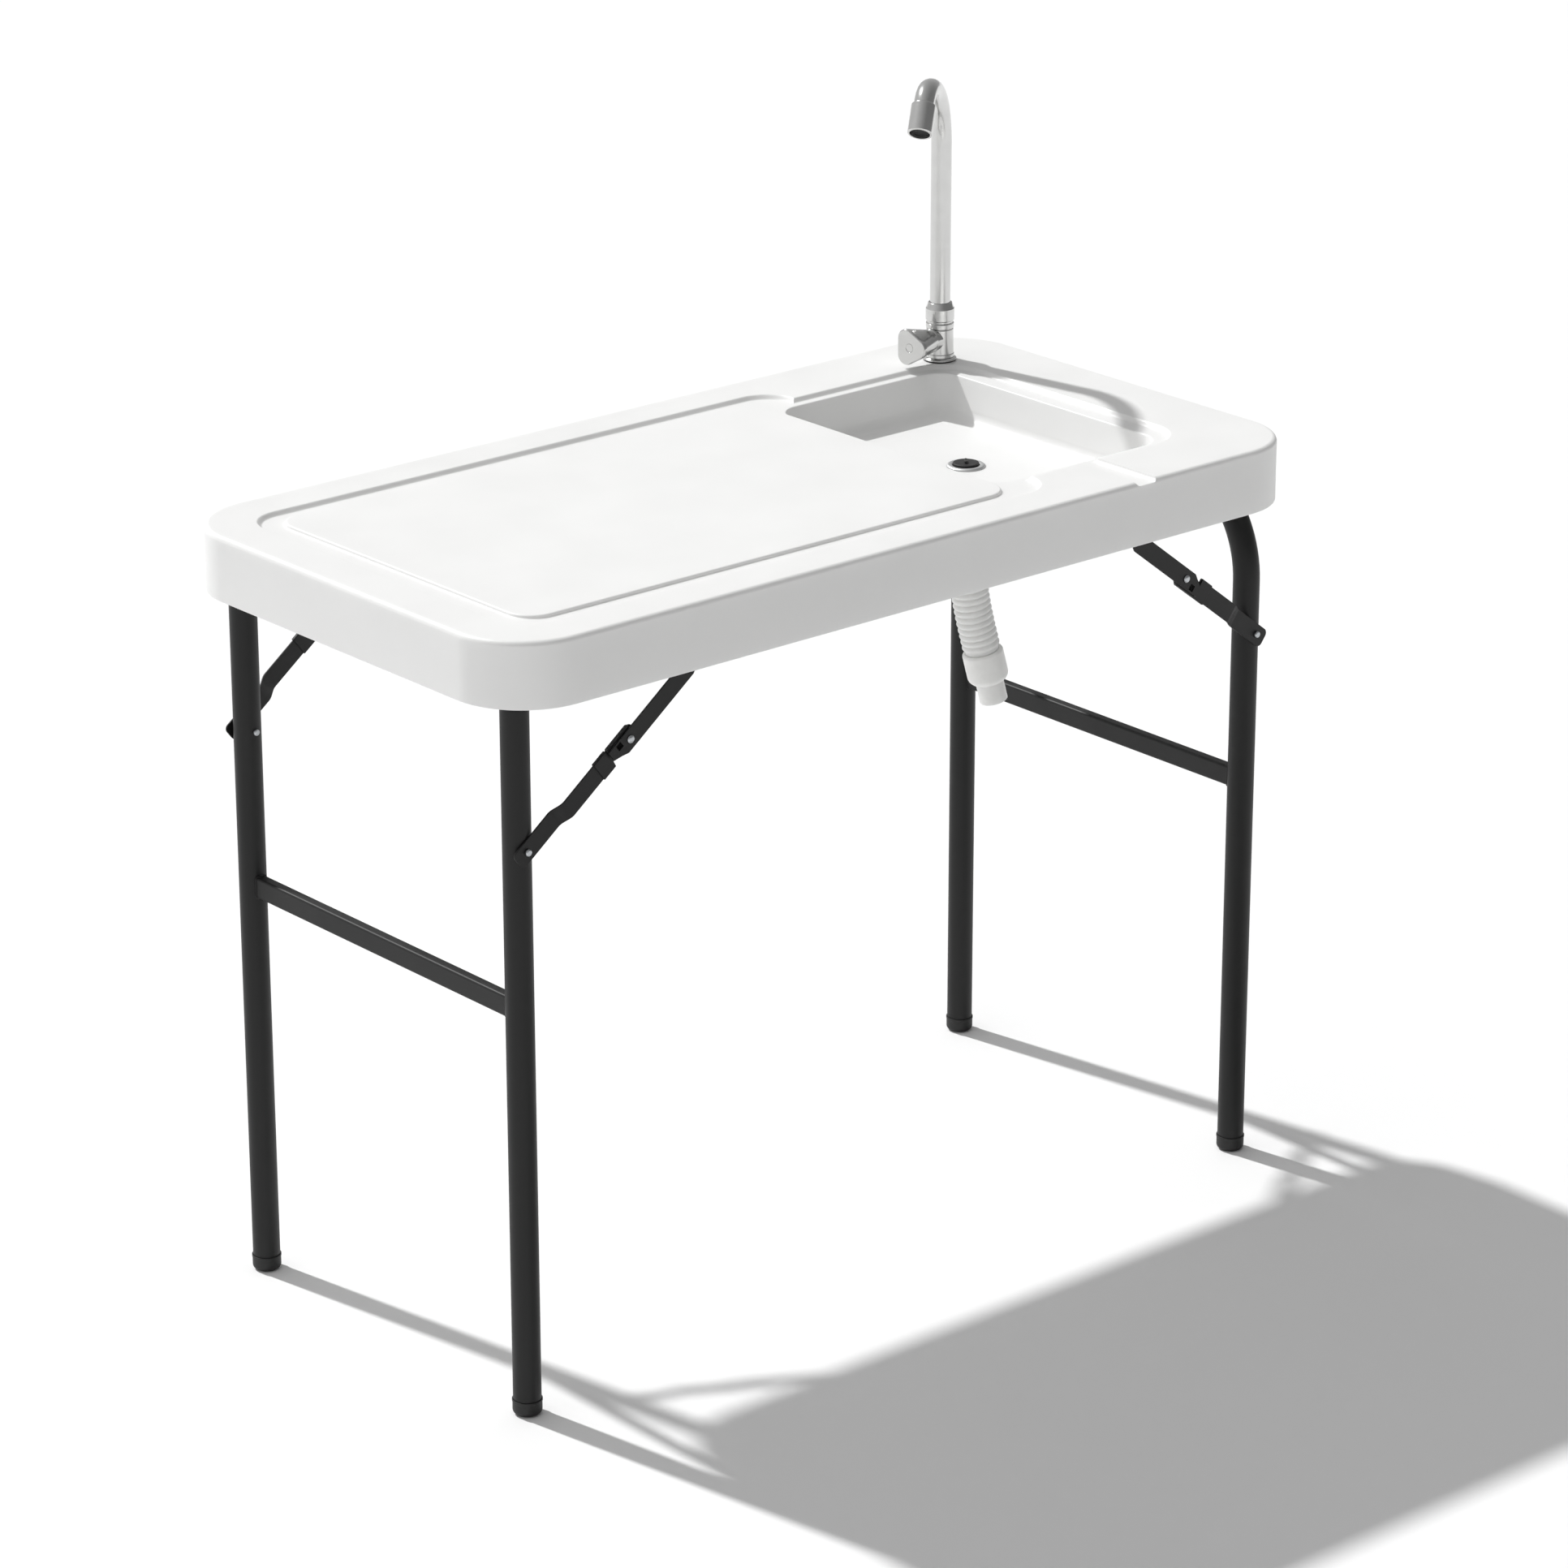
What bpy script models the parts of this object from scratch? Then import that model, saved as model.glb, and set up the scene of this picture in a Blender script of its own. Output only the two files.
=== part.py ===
"""Folding fish-cleaning table with a sink, a swivel tap, a drain hose and two folding leg frames.

Metres, +Z up. The origin is on the floor under the middle of the table top. +X points to the sink end
and +Y to the tap side. The legs stand open and the braces are straight.
"""

import math

import bmesh
import bpy
from mathutils import Matrix, Vector

# Fits
GAP = 0.0003  # between solids that touch
RUNNING = 0.0003  # round a turning or sliding piece
OVERRUN = 0.01  # length of a bore past each end of its piece

# Small edges and rounds
EDGE = 0.001
FINE_EDGE = 0.0006
LEAST_CORNER = 0.001
MID_ROUND = 0.3  # share of a round at its middle point
MID_SLOPE = 0.4  # share of a hollow slope at its middle point
SHARP_ANGLE = math.radians(35)

# Table top: a moulded shell with a skirt all round
TABLE_LENGTH = 1.150
TABLE_WIDTH = 0.594
RIM_HEIGHT = 0.8909
TABLE_CORNER = 0.0874
RIM_ROUND = 0.006
SKIRT_DEPTH = 0.0741
SKIRT_WALL = 0.0035
RECESS_DEPTH = 0.005
DECK_WALL = 0.004
INNER_ROUND = 0.003

# Work recess and its raised panel
RECESS_END_RIM = 0.055
RECESS_SIDE_RIM = 0.054
RECESS_CORNER = 0.042
RECESS_SLOPE = 0.005
RECESS_LIP = 0.0015
PANEL_END_CHANNEL = 0.027
PANEL_SIDE_CHANNEL = 0.021
PANEL_CORNER = 0.032
PANEL_DROP = 0.001
PANEL_ROUND = 0.0025

# Sink, its ledge and the notch that leads over the front rim
SINK_LENGTH = 0.258
SINK_WIDTH = 0.374
SINK_END_RIM = 0.124
SINK_CORNER = 0.030
SINK_DEPTH = 0.053
SINK_TAPER = 0.008
SINK_FLOOR_ROUND = 0.015
SINK_LIP = 0.002
SINK_SHELL = 0.0035
SINK_FLOOR_WALL = 0.004
LEDGE_END = 0.026
LEDGE_SIDE = 0.0145
LEDGE_CORNER = 0.050
RECESS_PAST_SINK = 0.040
PANEL_TO_SINK = 0.006
NOTCH_WIDTH = 0.031
NOTCH_DEPTH = 0.0045
NOTCH_SLOPE = 0.004

# Drain and hose
DRAIN_OFFSET = -0.002
DRAIN_FLANGE_DIAMETER = 0.045
DRAIN_FLANGE_THICKNESS = 0.0022
DRAIN_FLANGE_EDGE = 0.0015
DRAIN_BODY_DIAMETER = 0.036
DRAIN_WALL = 0.0022
DRAIN_TAIL = 0.026
DRAIN_NUT_DIAMETER = 0.050
DRAIN_NUT_HEIGHT = 0.009
DRAIN_NUT_CHAMFER = 0.002
STOPPER_DIAMETER = 0.0304
STOPPER_STAND = 0.00225
STOPPER_PLUG_DIAMETER = 0.026
STOPPER_PLUG = 0.006
STOPPER_CHAMFER = 0.002
STOPPER_BAR_LENGTH = 0.013
STOPPER_BAR_WIDTH = 0.0036
STOPPER_BAR_HEIGHT = 0.003
STOPPER_BAR_TURN = math.radians(50)
HOSE_DIAMETER = 0.0446
HOSE_RIBS = 28
HOSE_PITCH = 0.0073
HOSE_RIB_DEPTH = 0.0024
RIB_CREST = 0.25  # share of a pitch
RIB_ROOT = 0.75
HOSE_STRAIGHT = 0.056
HOSE_BEND = 0.128
HOSE_LEAN = 0.243
HOSE_HEADING = math.radians(-23)
CUFF_DIAMETER = 0.0485
CUFF_LENGTH = 0.040
CUFF_EDGE = 0.0015
CUFF_SHOULDER = 0.005
SPIGOT_DIAMETER = 0.033
SPIGOT_LENGTH = 0.025
SPIGOT_BORE = 0.026

# Leg frames: one bent tube each, turning in two brackets under the deck
TUBE_DIAMETER = 0.0310
TUBE_WALL = 0.0014
LEG_SIDE_INSET = 0.0573
LEFT_LEG_INSET = 0.0495
RIGHT_LEG_INSET = 0.036
LEFT_PIVOT_DEPTH = 0.0409
RIGHT_PIVOT_DEPTH = 0.0499
LEFT_BEND = 0.047
RIGHT_BEND = 0.1285
STRAIGHT_BELOW_BOLT = 0.05
CAP_DIAMETER = 0.0333
CAP_HEIGHT = 0.018
CAP_FLOOR = 0.004
CAP_ROUND = 0.004
BAR_HEIGHT = 0.0245
BAR_THICKNESS = 0.0135
BAR_WALL = 0.0015
BAR_CHAMFER = 0.001
BAR_DROP = 0.4209
BRACKET_SPREAD = 0.140
BRACKET_WIDTH = 0.024
BRACKET_WALL = 0.004
BRACKET_EAR = 0.0095
BRACKET_PLATE = 0.003

# Braces: a lower and an upper strap, riveted at the knee and to a rail under the deck
BRACE_DROP = 0.2389
BRACE_SLOPE = 0.766
LOWER_ARM = 0.1612
LEFT_RAIL_OFFSET = 0.2298
RIGHT_RAIL_OFFSET = 0.2261
STRAP_THICKNESS = 0.002
STRAP_CLEARANCE = 0.0004
LOWER_STRAP_WIDTH = 0.0222
LOWER_STRAP_TAIL = 0.0155
LOWER_STRAP_NOSE = 0.0125
STRAP_CORNER = 0.006
JOGGLE_START = 0.044
JOGGLE_LENGTH = 0.019
JOGGLE_STEP = 0.008
LIP_LENGTH = 0.0365
LIP_BACK = 0.028
LIP_THICKNESS = 0.0016
LIP_HEIGHT = 0.003
KNEE_BOSS_DIAMETER = 0.016
LOWER_CUT_DEPTH = 0.005
LOWER_CUT_END = 0.0165
UPPER_STRAP_WIDTH = 0.0213
UPPER_END_WIDTH = 0.0140
UPPER_NECK_START = 0.028
UPPER_NECK_END = 0.021
UPPER_TAIL = 0.0288
UPPER_TAIL_TIP = 0.0112
SQUARE_HOLE = 0.0075
SQUARE_HOLE_BACK = 0.0145
SQUARE_HOLE_DOWN = 0.005
LOCK_LENGTH = 0.0192
LOCK_WALL = 0.001
LOCK_FROM_TAIL = 0.0006
RIVET_DIAMETER = 0.006
RIVET_HEAD_DIAMETER = 0.009
RIVET_HEAD_HEIGHT = 0.0021
RIVET_TAIL_DIAMETER = 0.009
DOME_FLAT = 0.65  # shares of a rivet head's radius and height
DOME_SHOULDER = 0.4
BOLT_DIAMETER = 0.006
BOLT_HEAD_DIAMETER = 0.0078
BOLT_HEAD_HEIGHT = 0.0034
BOLT_END_DIAMETER = 0.0072
BOLT_END_HEIGHT = 0.0034
RAIL_LENGTH = 1.000
RAIL_THICKNESS = 0.002
RAIL_FLANGE = 0.0125
RAIL_CLEARANCE = 0.0033
RAIL_LIFT = 0.0015
RAIL_BOSS_DIAMETER = 0.016

# Tap
TAP_END_RIM = 0.106
TAP_SIDE_RIM = 0.0864
TAP_FLANGE_DIAMETER = 0.040
TAP_FLANGE_THICKNESS = 0.0030
TAP_GASKET_THICKNESS = 0.0010
TAP_BODY_DIAMETER = 0.0330
TAP_BODY_HEIGHT = 0.0396
TAP_BODY_FOOT = 0.004
TAP_RING_DIAMETER = 0.0333
TAP_RING_HEIGHT = 0.0466
TAP_GROOVE_DIAMETER = 0.0300
TAP_NUT_DIAMETER = 0.0342
TAP_NUT_BOTTOM = 0.0495
TAP_NUT_TOP = 0.0645
TAP_CONE_TOP = 0.0714
TAP_CONE_LAND = 0.0015
TAP_SHANK_DIAMETER = 0.021
TAP_SHANK_LENGTH = 0.027
TAP_WASHER_DIAMETER = 0.034
TAP_WASHER_THICKNESS = 0.002
TAP_LOCK_NUT_DIAMETER = 0.032
TAP_LOCK_NUT_HEIGHT = 0.007
TAP_BORE = 0.012
SPOUT_DIAMETER = 0.0243
SPOUT_WALL = 0.0011
SPOUT_RISE = 0.2596
SPOUT_RADIUS = 0.0855
SPOUT_TURN = math.radians(86.9)
SPOUT_END_RADIUS = 0.031
SPOUT_END_TURN = math.radians(139.8)
SPOUT_TIP = 0.0385
SPOUT_HEADING = math.radians(-143.3)
TIP_DIAMETER = 0.0293
TIP_LENGTH = 0.0375
TIP_MOUTH = 0.010
AERATOR_RECESS = 0.004
AERATOR_THICKNESS = 0.0045
SCREEN_SHARE = 0.80
SCREEN_RIM_SHARE = 0.86
KNOB_LEVEL = 0.0268
KNOB_HEADING = math.radians(-169.6)
KNOB_REACH = 0.059
KNOB_NECK_DIAMETER = 0.028
KNOB_START = 0.0205
KNOB_CIRCUMRADIUS = 0.0232
KNOB_CORNER = 0.012
KNOB_RIM = 0.004
KNOB_ROUND = 0.0015
KNOB_BUTTON_DIAMETER = 0.0095
KNOB_BUTTON_DEPTH = 0.0006

# Sizes that follow from those above
TUBE_R = TUBE_DIAMETER / 2
LEG_Y = TABLE_WIDTH / 2 - LEG_SIDE_INSET
FLOOR_OF_RECESS = RIM_HEIGHT - RECESS_DEPTH
DECK_UNDER = FLOOR_OF_RECESS - DECK_WALL
HEM = RIM_HEIGHT - SKIRT_DEPTH
BRACE_LEVEL = RIM_HEIGHT - BRACE_DROP
BAR_LEVEL = RIM_HEIGHT - BAR_DROP
SINK_X = TABLE_LENGTH / 2 - SINK_END_RIM - SINK_LENGTH / 2
SINK_FLOOR = RIM_HEIGHT - SINK_DEPTH
SINK_UNDER = SINK_FLOOR - SINK_FLOOR_WALL
DRAIN_X = SINK_X + DRAIN_OFFSET
LEFT_LEG_X = -TABLE_LENGTH / 2 + LEFT_LEG_INSET
RIGHT_LEG_X = TABLE_LENGTH / 2 - RIGHT_LEG_INSET
LEFT_PIVOT_Z = RIM_HEIGHT - LEFT_PIVOT_DEPTH
RIGHT_PIVOT_Z = RIM_HEIGHT - RIGHT_PIVOT_DEPTH
BRACE_ANGLE = math.atan(BRACE_SLOPE)
TAP_X = TABLE_LENGTH / 2 - TAP_END_RIM
TAP_Y = TABLE_WIDTH / 2 - TAP_SIDE_RIM

# Distances outwards from the leg's axis at which the layers of a brace lie
NEAR_LAYER = TUBE_R + STRAP_CLEARANCE
LOWER_LAYER = NEAR_LAYER + JOGGLE_STEP
LIP_TOP = LOWER_LAYER + STRAP_THICKNESS + LIP_HEIGHT
UPPER_LAYER = LIP_TOP + STRAP_CLEARANCE
UPPER_OUTSIDE = UPPER_LAYER + STRAP_THICKNESS
RAIL_LAYER = UPPER_OUTSIDE + RAIL_CLEARANCE

# Counts of flat sides
SIDES = 20
TUBE_SIDES = 16
BORE_SIDES = 12
PIN_SIDES = 12
KNOB_SIDES = 24
KNOB_STEPS = 5
BEND_STEPS = 8
SPOUT_STEPS = 12
SPOUT_END_STEPS = 7


# Making meshes

def clear_scene():
    for obj in list(bpy.data.objects):
        bpy.data.objects.remove(obj, do_unlink=True)


def mesh_from(bm):
    """Closes off a bmesh: faces turned outwards and written to a new mesh."""
    bmesh.ops.recalc_face_normals(bm, faces=bm.faces)
    mesh = bpy.data.meshes.new("shape")
    bm.to_mesh(mesh)
    bm.free()
    return mesh


def loft(rings):
    """A solid through rings of equally many points, with a flat face on each end ring."""
    bm = bmesh.new()
    rows = [[bm.verts.new(point) for point in ring] for ring in rings]
    count = len(rows[0])
    for low, high in zip(rows, rows[1:]):
        for i in range(count):
            j = (i + 1) % count
            bm.faces.new((low[i], low[j], high[j], high[i]))
    bm.faces.new(rows[0])
    bm.faces.new(rows[-1])
    return mesh_from(bm)


def turned(profile, steps=SIDES):
    """A closed profile of (radius, height) points turned about Z; points at radius 0 lie on the axis."""
    bm = bmesh.new()
    rows = []
    for radius, height in profile:
        if radius == 0:
            rows.append([bm.verts.new((0, 0, height))])
            continue
        row = []
        for i in range(steps):
            angle = 2 * math.pi * i / steps
            row.append(bm.verts.new((radius * math.cos(angle), radius * math.sin(angle), height)))
        rows.append(row)
    for low, high in zip(rows, rows[1:] + rows[:1]):
        if len(low) == 1 and len(high) == 1:
            continue
        for i in range(steps):
            j = (i + 1) % steps
            corners = [low[i % len(low)], low[j % len(low)], high[j % len(high)], high[i % len(high)]]
            bm.faces.new(list(dict.fromkeys(corners)))
    return mesh_from(bm)


def prism(outline, low, high, across):
    """An outline of (a, b) points pushed from low to high; across places (a, b, height) in space."""
    return loft([[across(a, b, height) for a, b in outline] for height in (low, high)])


def along_x(a, b, height):
    return Vector((height, a, b))


def along_y(a, b, height):
    return Vector((a, height, b))


def along_z(a, b, height):
    return Vector((a, b, height))


def rectangle(width, height):
    w, h = width / 2, height / 2
    return [(-w, -h), (w, -h), (w, h), (-w, h)]


def chamfered(width, height, cut):
    w, h = width / 2, height / 2
    return [(-w + cut, -h), (w - cut, -h), (w, -h + cut), (w, h - cut),
            (w - cut, h), (-w + cut, h), (-w, h - cut), (-w, -h + cut)]


def polygon(diameter, sides, turn=0.0):
    r = diameter / 2
    return [(r * math.cos(turn + 2 * math.pi * i / sides), r * math.sin(turn + 2 * math.pi * i / sides))
            for i in range(sides)]


def rounded_box(x_low, x_high, half_y, radius, grow=0.0, steps=6):
    """A rectangle about the X axis with round corners, grown outwards on every side."""
    corner = max(radius + grow, LEAST_CORNER)
    x_low, x_high, half_y = x_low - grow, x_high + grow, half_y + grow
    centres = [(x_high - corner, half_y - corner), (x_low + corner, half_y - corner),
               (x_low + corner, corner - half_y), (x_high - corner, corner - half_y)]
    points = []
    for quarter, (x, y) in enumerate(centres):
        for i in range(steps + 1):
            angle = math.pi / 2 * (quarter + i / steps)
            points.append((x + corner * math.cos(angle), y + corner * math.sin(angle)))
    return points


def pillow(box, levels, steps=6):
    """A solid from a rounded box and (height, grow) levels."""
    return loft([[Vector((x, y, height)) for x, y in rounded_box(*box, grow=grow, steps=steps)]
                 for height, grow in levels])


def frames_along(path):
    """Two axes across the path at each point, carried along it without twist."""
    tangents = []
    for i in range(len(path)):
        ahead = path[min(i + 1, len(path) - 1)] - path[i]
        behind = path[i] - path[max(i - 1, 0)]
        tangents.append((ahead.normalized() + behind.normalized()).normalized())
    side = tangents[0].orthogonal().normalized()
    frames = []
    for tangent in tangents:
        side = (side - tangent * side.dot(tangent)).normalized()
        frames.append((side, tangent.cross(side)))
    return frames


def ring_at(centre, frame, radius, sides):
    angles = [2 * math.pi * i / sides for i in range(sides)]
    return [centre + radius * (math.cos(a) * frame[0] + math.sin(a) * frame[1]) for a in angles]


def tube(path, radii, bore_radius=0.0, sides=TUBE_SIDES, bore_sides=BORE_SIDES):
    """A round bar along a path; with a bore radius it is hollow and open at both ends."""
    frames = frames_along(path)
    outside = loft([ring_at(p, f, r, sides) for p, f, r in zip(path, frames, radii)])
    if not bore_radius:
        return outside
    start = path[0] + (path[0] - path[1]).normalized() * OVERRUN
    end = path[-1] + (path[-1] - path[-2]).normalized() * OVERRUN
    bore_path = [start] + path[1:-1] + [end]
    bore_frames = frames_along(bore_path)
    bore = loft([ring_at(p, f, bore_radius, bore_sides) for p, f in zip(bore_path, bore_frames)])
    return carve(outside, ("DIFFERENCE", bore))


def round_bar(diameter, start, end, sides=PIN_SIDES):
    return tube([Vector(start), Vector(end)], [diameter / 2] * 2, sides=sides)


def carve(mesh, *steps):
    """The mesh after each (operation, other mesh) Boolean in turn."""
    helpers = [bpy.data.objects.new("base", mesh)]
    for number, (operation, other) in enumerate(steps):
        helper = bpy.data.objects.new(f"cutter_{number}", other)
        helper.hide_render = True
        helper.display_type = "WIRE"
        helpers.append(helper)
        modifier = helpers[0].modifiers.new(f"step_{number}", "BOOLEAN")
        modifier.operation = operation
        modifier.solver = "EXACT"
        modifier.object = helper
    for helper in helpers:
        bpy.context.scene.collection.objects.link(helper)
    bpy.context.view_layer.update()
    graph = bpy.context.evaluated_depsgraph_get()
    result = bpy.data.meshes.new_from_object(helpers[0].evaluated_get(graph))
    for helper in helpers:
        bpy.data.objects.remove(helper, do_unlink=True)
    return result


# Placing objects

def material(name, hex_colour, roughness, metallic):
    """A Principled material from an sRGB colour written as RRGGBB."""
    channels = [int(hex_colour[i:i + 2], 16) / 255 for i in (0, 2, 4)]
    linear = [c / 12.92 if c <= 0.04045 else ((c + 0.055) / 1.055) ** 2.4 for c in channels]
    found = bpy.data.materials.get(name) or bpy.data.materials.new(name)
    found.use_nodes = True
    shader = found.node_tree.nodes["Principled BSDF"]
    shader.inputs["Base Color"].default_value = (*linear, 1)
    shader.inputs["Roughness"].default_value = roughness
    shader.inputs["Metallic"].default_value = metallic
    return found


def white_plastic():
    return material("white_plastic", "F0F0F0", 0.42, 0.0)


def black_paint():
    return material("black_paint", "2D2D2D", 0.40, 0.3)


def black_rubber():
    return material("black_rubber", "1A1A1A", 0.65, 0.0)


def grey_plastic():
    return material("grey_plastic", "C8C8C8", 0.45, 0.0)


def zinc_steel():
    return material("zinc_steel", "B9BCBF", 0.35, 0.9)


def brushed_chrome():
    return material("brushed_chrome", "C3C5C8", 0.24, 1.0)


def place(name, mesh, surface, location=(0, 0, 0), rotation=None, parent=None, smooth=True):
    """Makes the object; rotation is a 3x3 matrix and location is under the parent."""
    mesh.name = name
    mesh.materials.clear()
    mesh.materials.append(surface)
    if smooth:
        mesh.shade_smooth()
        mesh.set_sharp_from_angle(angle=SHARP_ANGLE)
    obj = bpy.data.objects.new(name, mesh)
    bpy.context.scene.collection.objects.link(obj)
    obj.parent = parent
    turn = rotation.to_4x4() if rotation else Matrix.Identity(4)
    obj.matrix_local = Matrix.Translation(Vector(location)) @ turn
    return obj


def empty(name, location):
    obj = bpy.data.objects.new(name, None)
    obj.empty_display_size = 0.05
    bpy.context.scene.collection.objects.link(obj)
    obj.location = location
    return obj


def axes(x, y):
    """A rotation whose columns are x, y and their cross product."""
    x, y = Vector(x).normalized(), Vector(y).normalized()
    return Matrix((x, y, x.cross(y))).transposed()


# Table top

def edge_profile(top, radius, steps=3):
    """(height, grow) levels of a convex round edge that ends at a flat top."""
    return [(top - radius * (1 - math.sin(math.pi / 2 * i / steps)),
             -radius * (1 - math.cos(math.pi / 2 * i / steps))) for i in range(steps + 1)]


def recess_levels():
    """A dished edge: a hollow sweep up from the recess floor and a small round at the rim."""
    half = RECESS_DEPTH / 2
    return [(FLOOR_OF_RECESS, -RECESS_SLOPE),
            (FLOOR_OF_RECESS + half * MID_ROUND, -RECESS_SLOPE * MID_SLOPE),
            (FLOOR_OF_RECESS + half, 0.0),
            (RIM_HEIGHT - half * MID_ROUND, RECESS_LIP * MID_SLOPE),
            (RIM_HEIGHT, RECESS_LIP),
            (RIM_HEIGHT + RECESS_DEPTH, RECESS_LIP)]


def sink_box():
    half = SINK_LENGTH / 2
    return SINK_X - half, SINK_X + half, SINK_WIDTH / 2, SINK_CORNER


def sink_cavity():
    """The basin's inside, wider at its lip and rounded down into its floor."""
    box = sink_box()
    levels = [(SINK_FLOOR, -SINK_TAPER - SINK_FLOOR_ROUND)]
    for i in range(1, 4):
        angle = math.pi / 2 * i / 3
        levels.append((SINK_FLOOR + SINK_FLOOR_ROUND * (1 - math.cos(angle)),
                       -SINK_TAPER - SINK_FLOOR_ROUND * (1 - math.sin(angle))))
    levels += [(FLOOR_OF_RECESS - SINK_LIP, 0.0),
               (FLOOR_OF_RECESS - SINK_LIP * MID_ROUND, SINK_LIP * MID_ROUND),
               (FLOOR_OF_RECESS, SINK_LIP),
               (RIM_HEIGHT + RECESS_DEPTH, SINK_LIP)]
    return pillow(box, levels)


def sink_shell():
    """The basin's outside, which hangs below the deck."""
    levels = [(SINK_UNDER, -SINK_TAPER - SINK_FLOOR_ROUND + SINK_SHELL)]
    reach = SINK_FLOOR_ROUND + SINK_FLOOR_WALL
    for i in (1, 2):
        angle = math.pi / 2 * i / 2
        levels.append((SINK_UNDER + reach * (1 - math.cos(angle)),
                       -SINK_TAPER + SINK_SHELL - SINK_FLOOR_ROUND * (1 - math.sin(angle))))
    levels.append((FLOOR_OF_RECESS - DECK_WALL / 2, SINK_SHELL))
    return pillow(sink_box(), levels)


def notch_cutter():
    """The gutter from the sink's ledge out over the front rim."""
    half = NOTCH_WIDTH / 2
    floor = RIM_HEIGHT - NOTCH_DEPTH
    above = RIM_HEIGHT + RECESS_DEPTH
    outline = [(DRAIN_X - half + NOTCH_SLOPE, floor), (DRAIN_X + half - NOTCH_SLOPE, floor),
               (DRAIN_X + half - NOTCH_SLOPE * MID_ROUND, floor + NOTCH_DEPTH * MID_SLOPE),
               (DRAIN_X + half, RIM_HEIGHT), (DRAIN_X + half, above),
               (DRAIN_X - half, above), (DRAIN_X - half, RIM_HEIGHT),
               (DRAIN_X - half + NOTCH_SLOPE * MID_ROUND, floor + NOTCH_DEPTH * MID_SLOPE)]
    start = -SINK_WIDTH / 2 - LEDGE_SIDE / 2
    return prism(outline, -TABLE_WIDTH / 2 - RIM_ROUND, start, along_y)


def tabletop():
    half_x, half_y = TABLE_LENGTH / 2, TABLE_WIDTH / 2
    outline = (-half_x, half_x, half_y, TABLE_CORNER)
    outside = pillow(outline, [(HEM, 0.0)] + edge_profile(RIM_HEIGHT, RIM_ROUND), steps=8)
    inner = (-half_x + SKIRT_WALL, half_x - SKIRT_WALL, half_y - SKIRT_WALL, TABLE_CORNER - SKIRT_WALL)
    hollow = pillow(inner, [(HEM - RIM_ROUND, 0.0)] + edge_profile(DECK_UNDER, INNER_ROUND, 2), steps=8)
    sink_low, sink_high, sink_half, _ = sink_box()
    recess_left = -half_x + RECESS_END_RIM
    recess_half = half_y - RECESS_SIDE_RIM
    recess = pillow((recess_left, sink_low + RECESS_PAST_SINK, recess_half, RECESS_CORNER),
                    recess_levels())
    ledge = pillow((sink_low - LEDGE_CORNER, sink_high + LEDGE_END, sink_half + LEDGE_SIDE, LEDGE_CORNER),
                   recess_levels())
    panel_top = RIM_HEIGHT - PANEL_DROP
    panel_levels = [(FLOOR_OF_RECESS - DECK_WALL / 2, PANEL_ROUND), (FLOOR_OF_RECESS, PANEL_ROUND),
                    (FLOOR_OF_RECESS + PANEL_ROUND * MID_ROUND, PANEL_ROUND * MID_ROUND)]
    panel_levels += edge_profile(panel_top, PANEL_ROUND, 2)
    panel = pillow((recess_left + PANEL_END_CHANNEL, sink_low - PANEL_TO_SINK,
                    recess_half - PANEL_SIDE_CHANNEL, PANEL_CORNER), panel_levels)
    drain_hole = round_bar(DRAIN_BODY_DIAMETER + 2 * GAP, (DRAIN_X, 0, SINK_UNDER - DRAIN_WALL),
                           (DRAIN_X, 0, SINK_FLOOR + DRAIN_WALL), SIDES)
    tap_hole = round_bar(TAP_SHANK_DIAMETER + 2 * GAP, (TAP_X, TAP_Y, DECK_UNDER - DECK_WALL),
                         (TAP_X, TAP_Y, RIM_HEIGHT + DECK_WALL), SIDES)
    mesh = carve(outside, ("DIFFERENCE", hollow), ("UNION", sink_shell()), ("DIFFERENCE", recess),
                 ("DIFFERENCE", ledge), ("UNION", panel), ("DIFFERENCE", sink_cavity()),
                 ("DIFFERENCE", notch_cutter()), ("DIFFERENCE", drain_hole), ("DIFFERENCE", tap_hole))
    return place("tabletop", mesh, white_plastic())


def rails():
    """An angle rail under each long side, with a round boss where each brace is riveted."""
    top = DECK_UNDER - GAP
    bottom = HEM + RAIL_LIFT
    for name, side in (("front", -1), ("back", 1)):
        face = LEG_Y + RAIL_LAYER
        outside = face + RAIL_THICKNESS
        edge = outside + RAIL_FLANGE
        outline = [(face, bottom), (outside, bottom), (outside, top - RAIL_THICKNESS),
                   (edge, top - RAIL_THICKNESS), (edge, top), (face, top)]
        outline = [(side * y, z) for y, z in outline]
        mesh = prism(outline, -RAIL_LENGTH / 2, RAIL_LENGTH / 2, along_x)
        tops = (brace_top(LEFT_LEG_X, 1, LEFT_RAIL_OFFSET), brace_top(RIGHT_LEG_X, -1, RIGHT_RAIL_OFFSET))
        for x, z in tops:
            boss = round_bar(RAIL_BOSS_DIAMETER, (x, side * (LEG_Y + UPPER_OUTSIDE + GAP), z),
                             (x, side * (face + RAIL_THICKNESS / 2), z))
            mesh = carve(mesh, ("UNION", boss))
        place(f"rail_{name}", mesh, black_paint())


def brace_top(leg_x, inward, offset):
    """(x, z) where the straight brace meets its rail."""
    return leg_x + inward * offset, BRACE_LEVEL + BRACE_SLOPE * offset


# Drain and hose

def turned_at_drain(name, profile, surface, steps=SIDES):
    return place(name, turned(profile, steps), surface, (DRAIN_X, 0, SINK_FLOOR))


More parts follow.
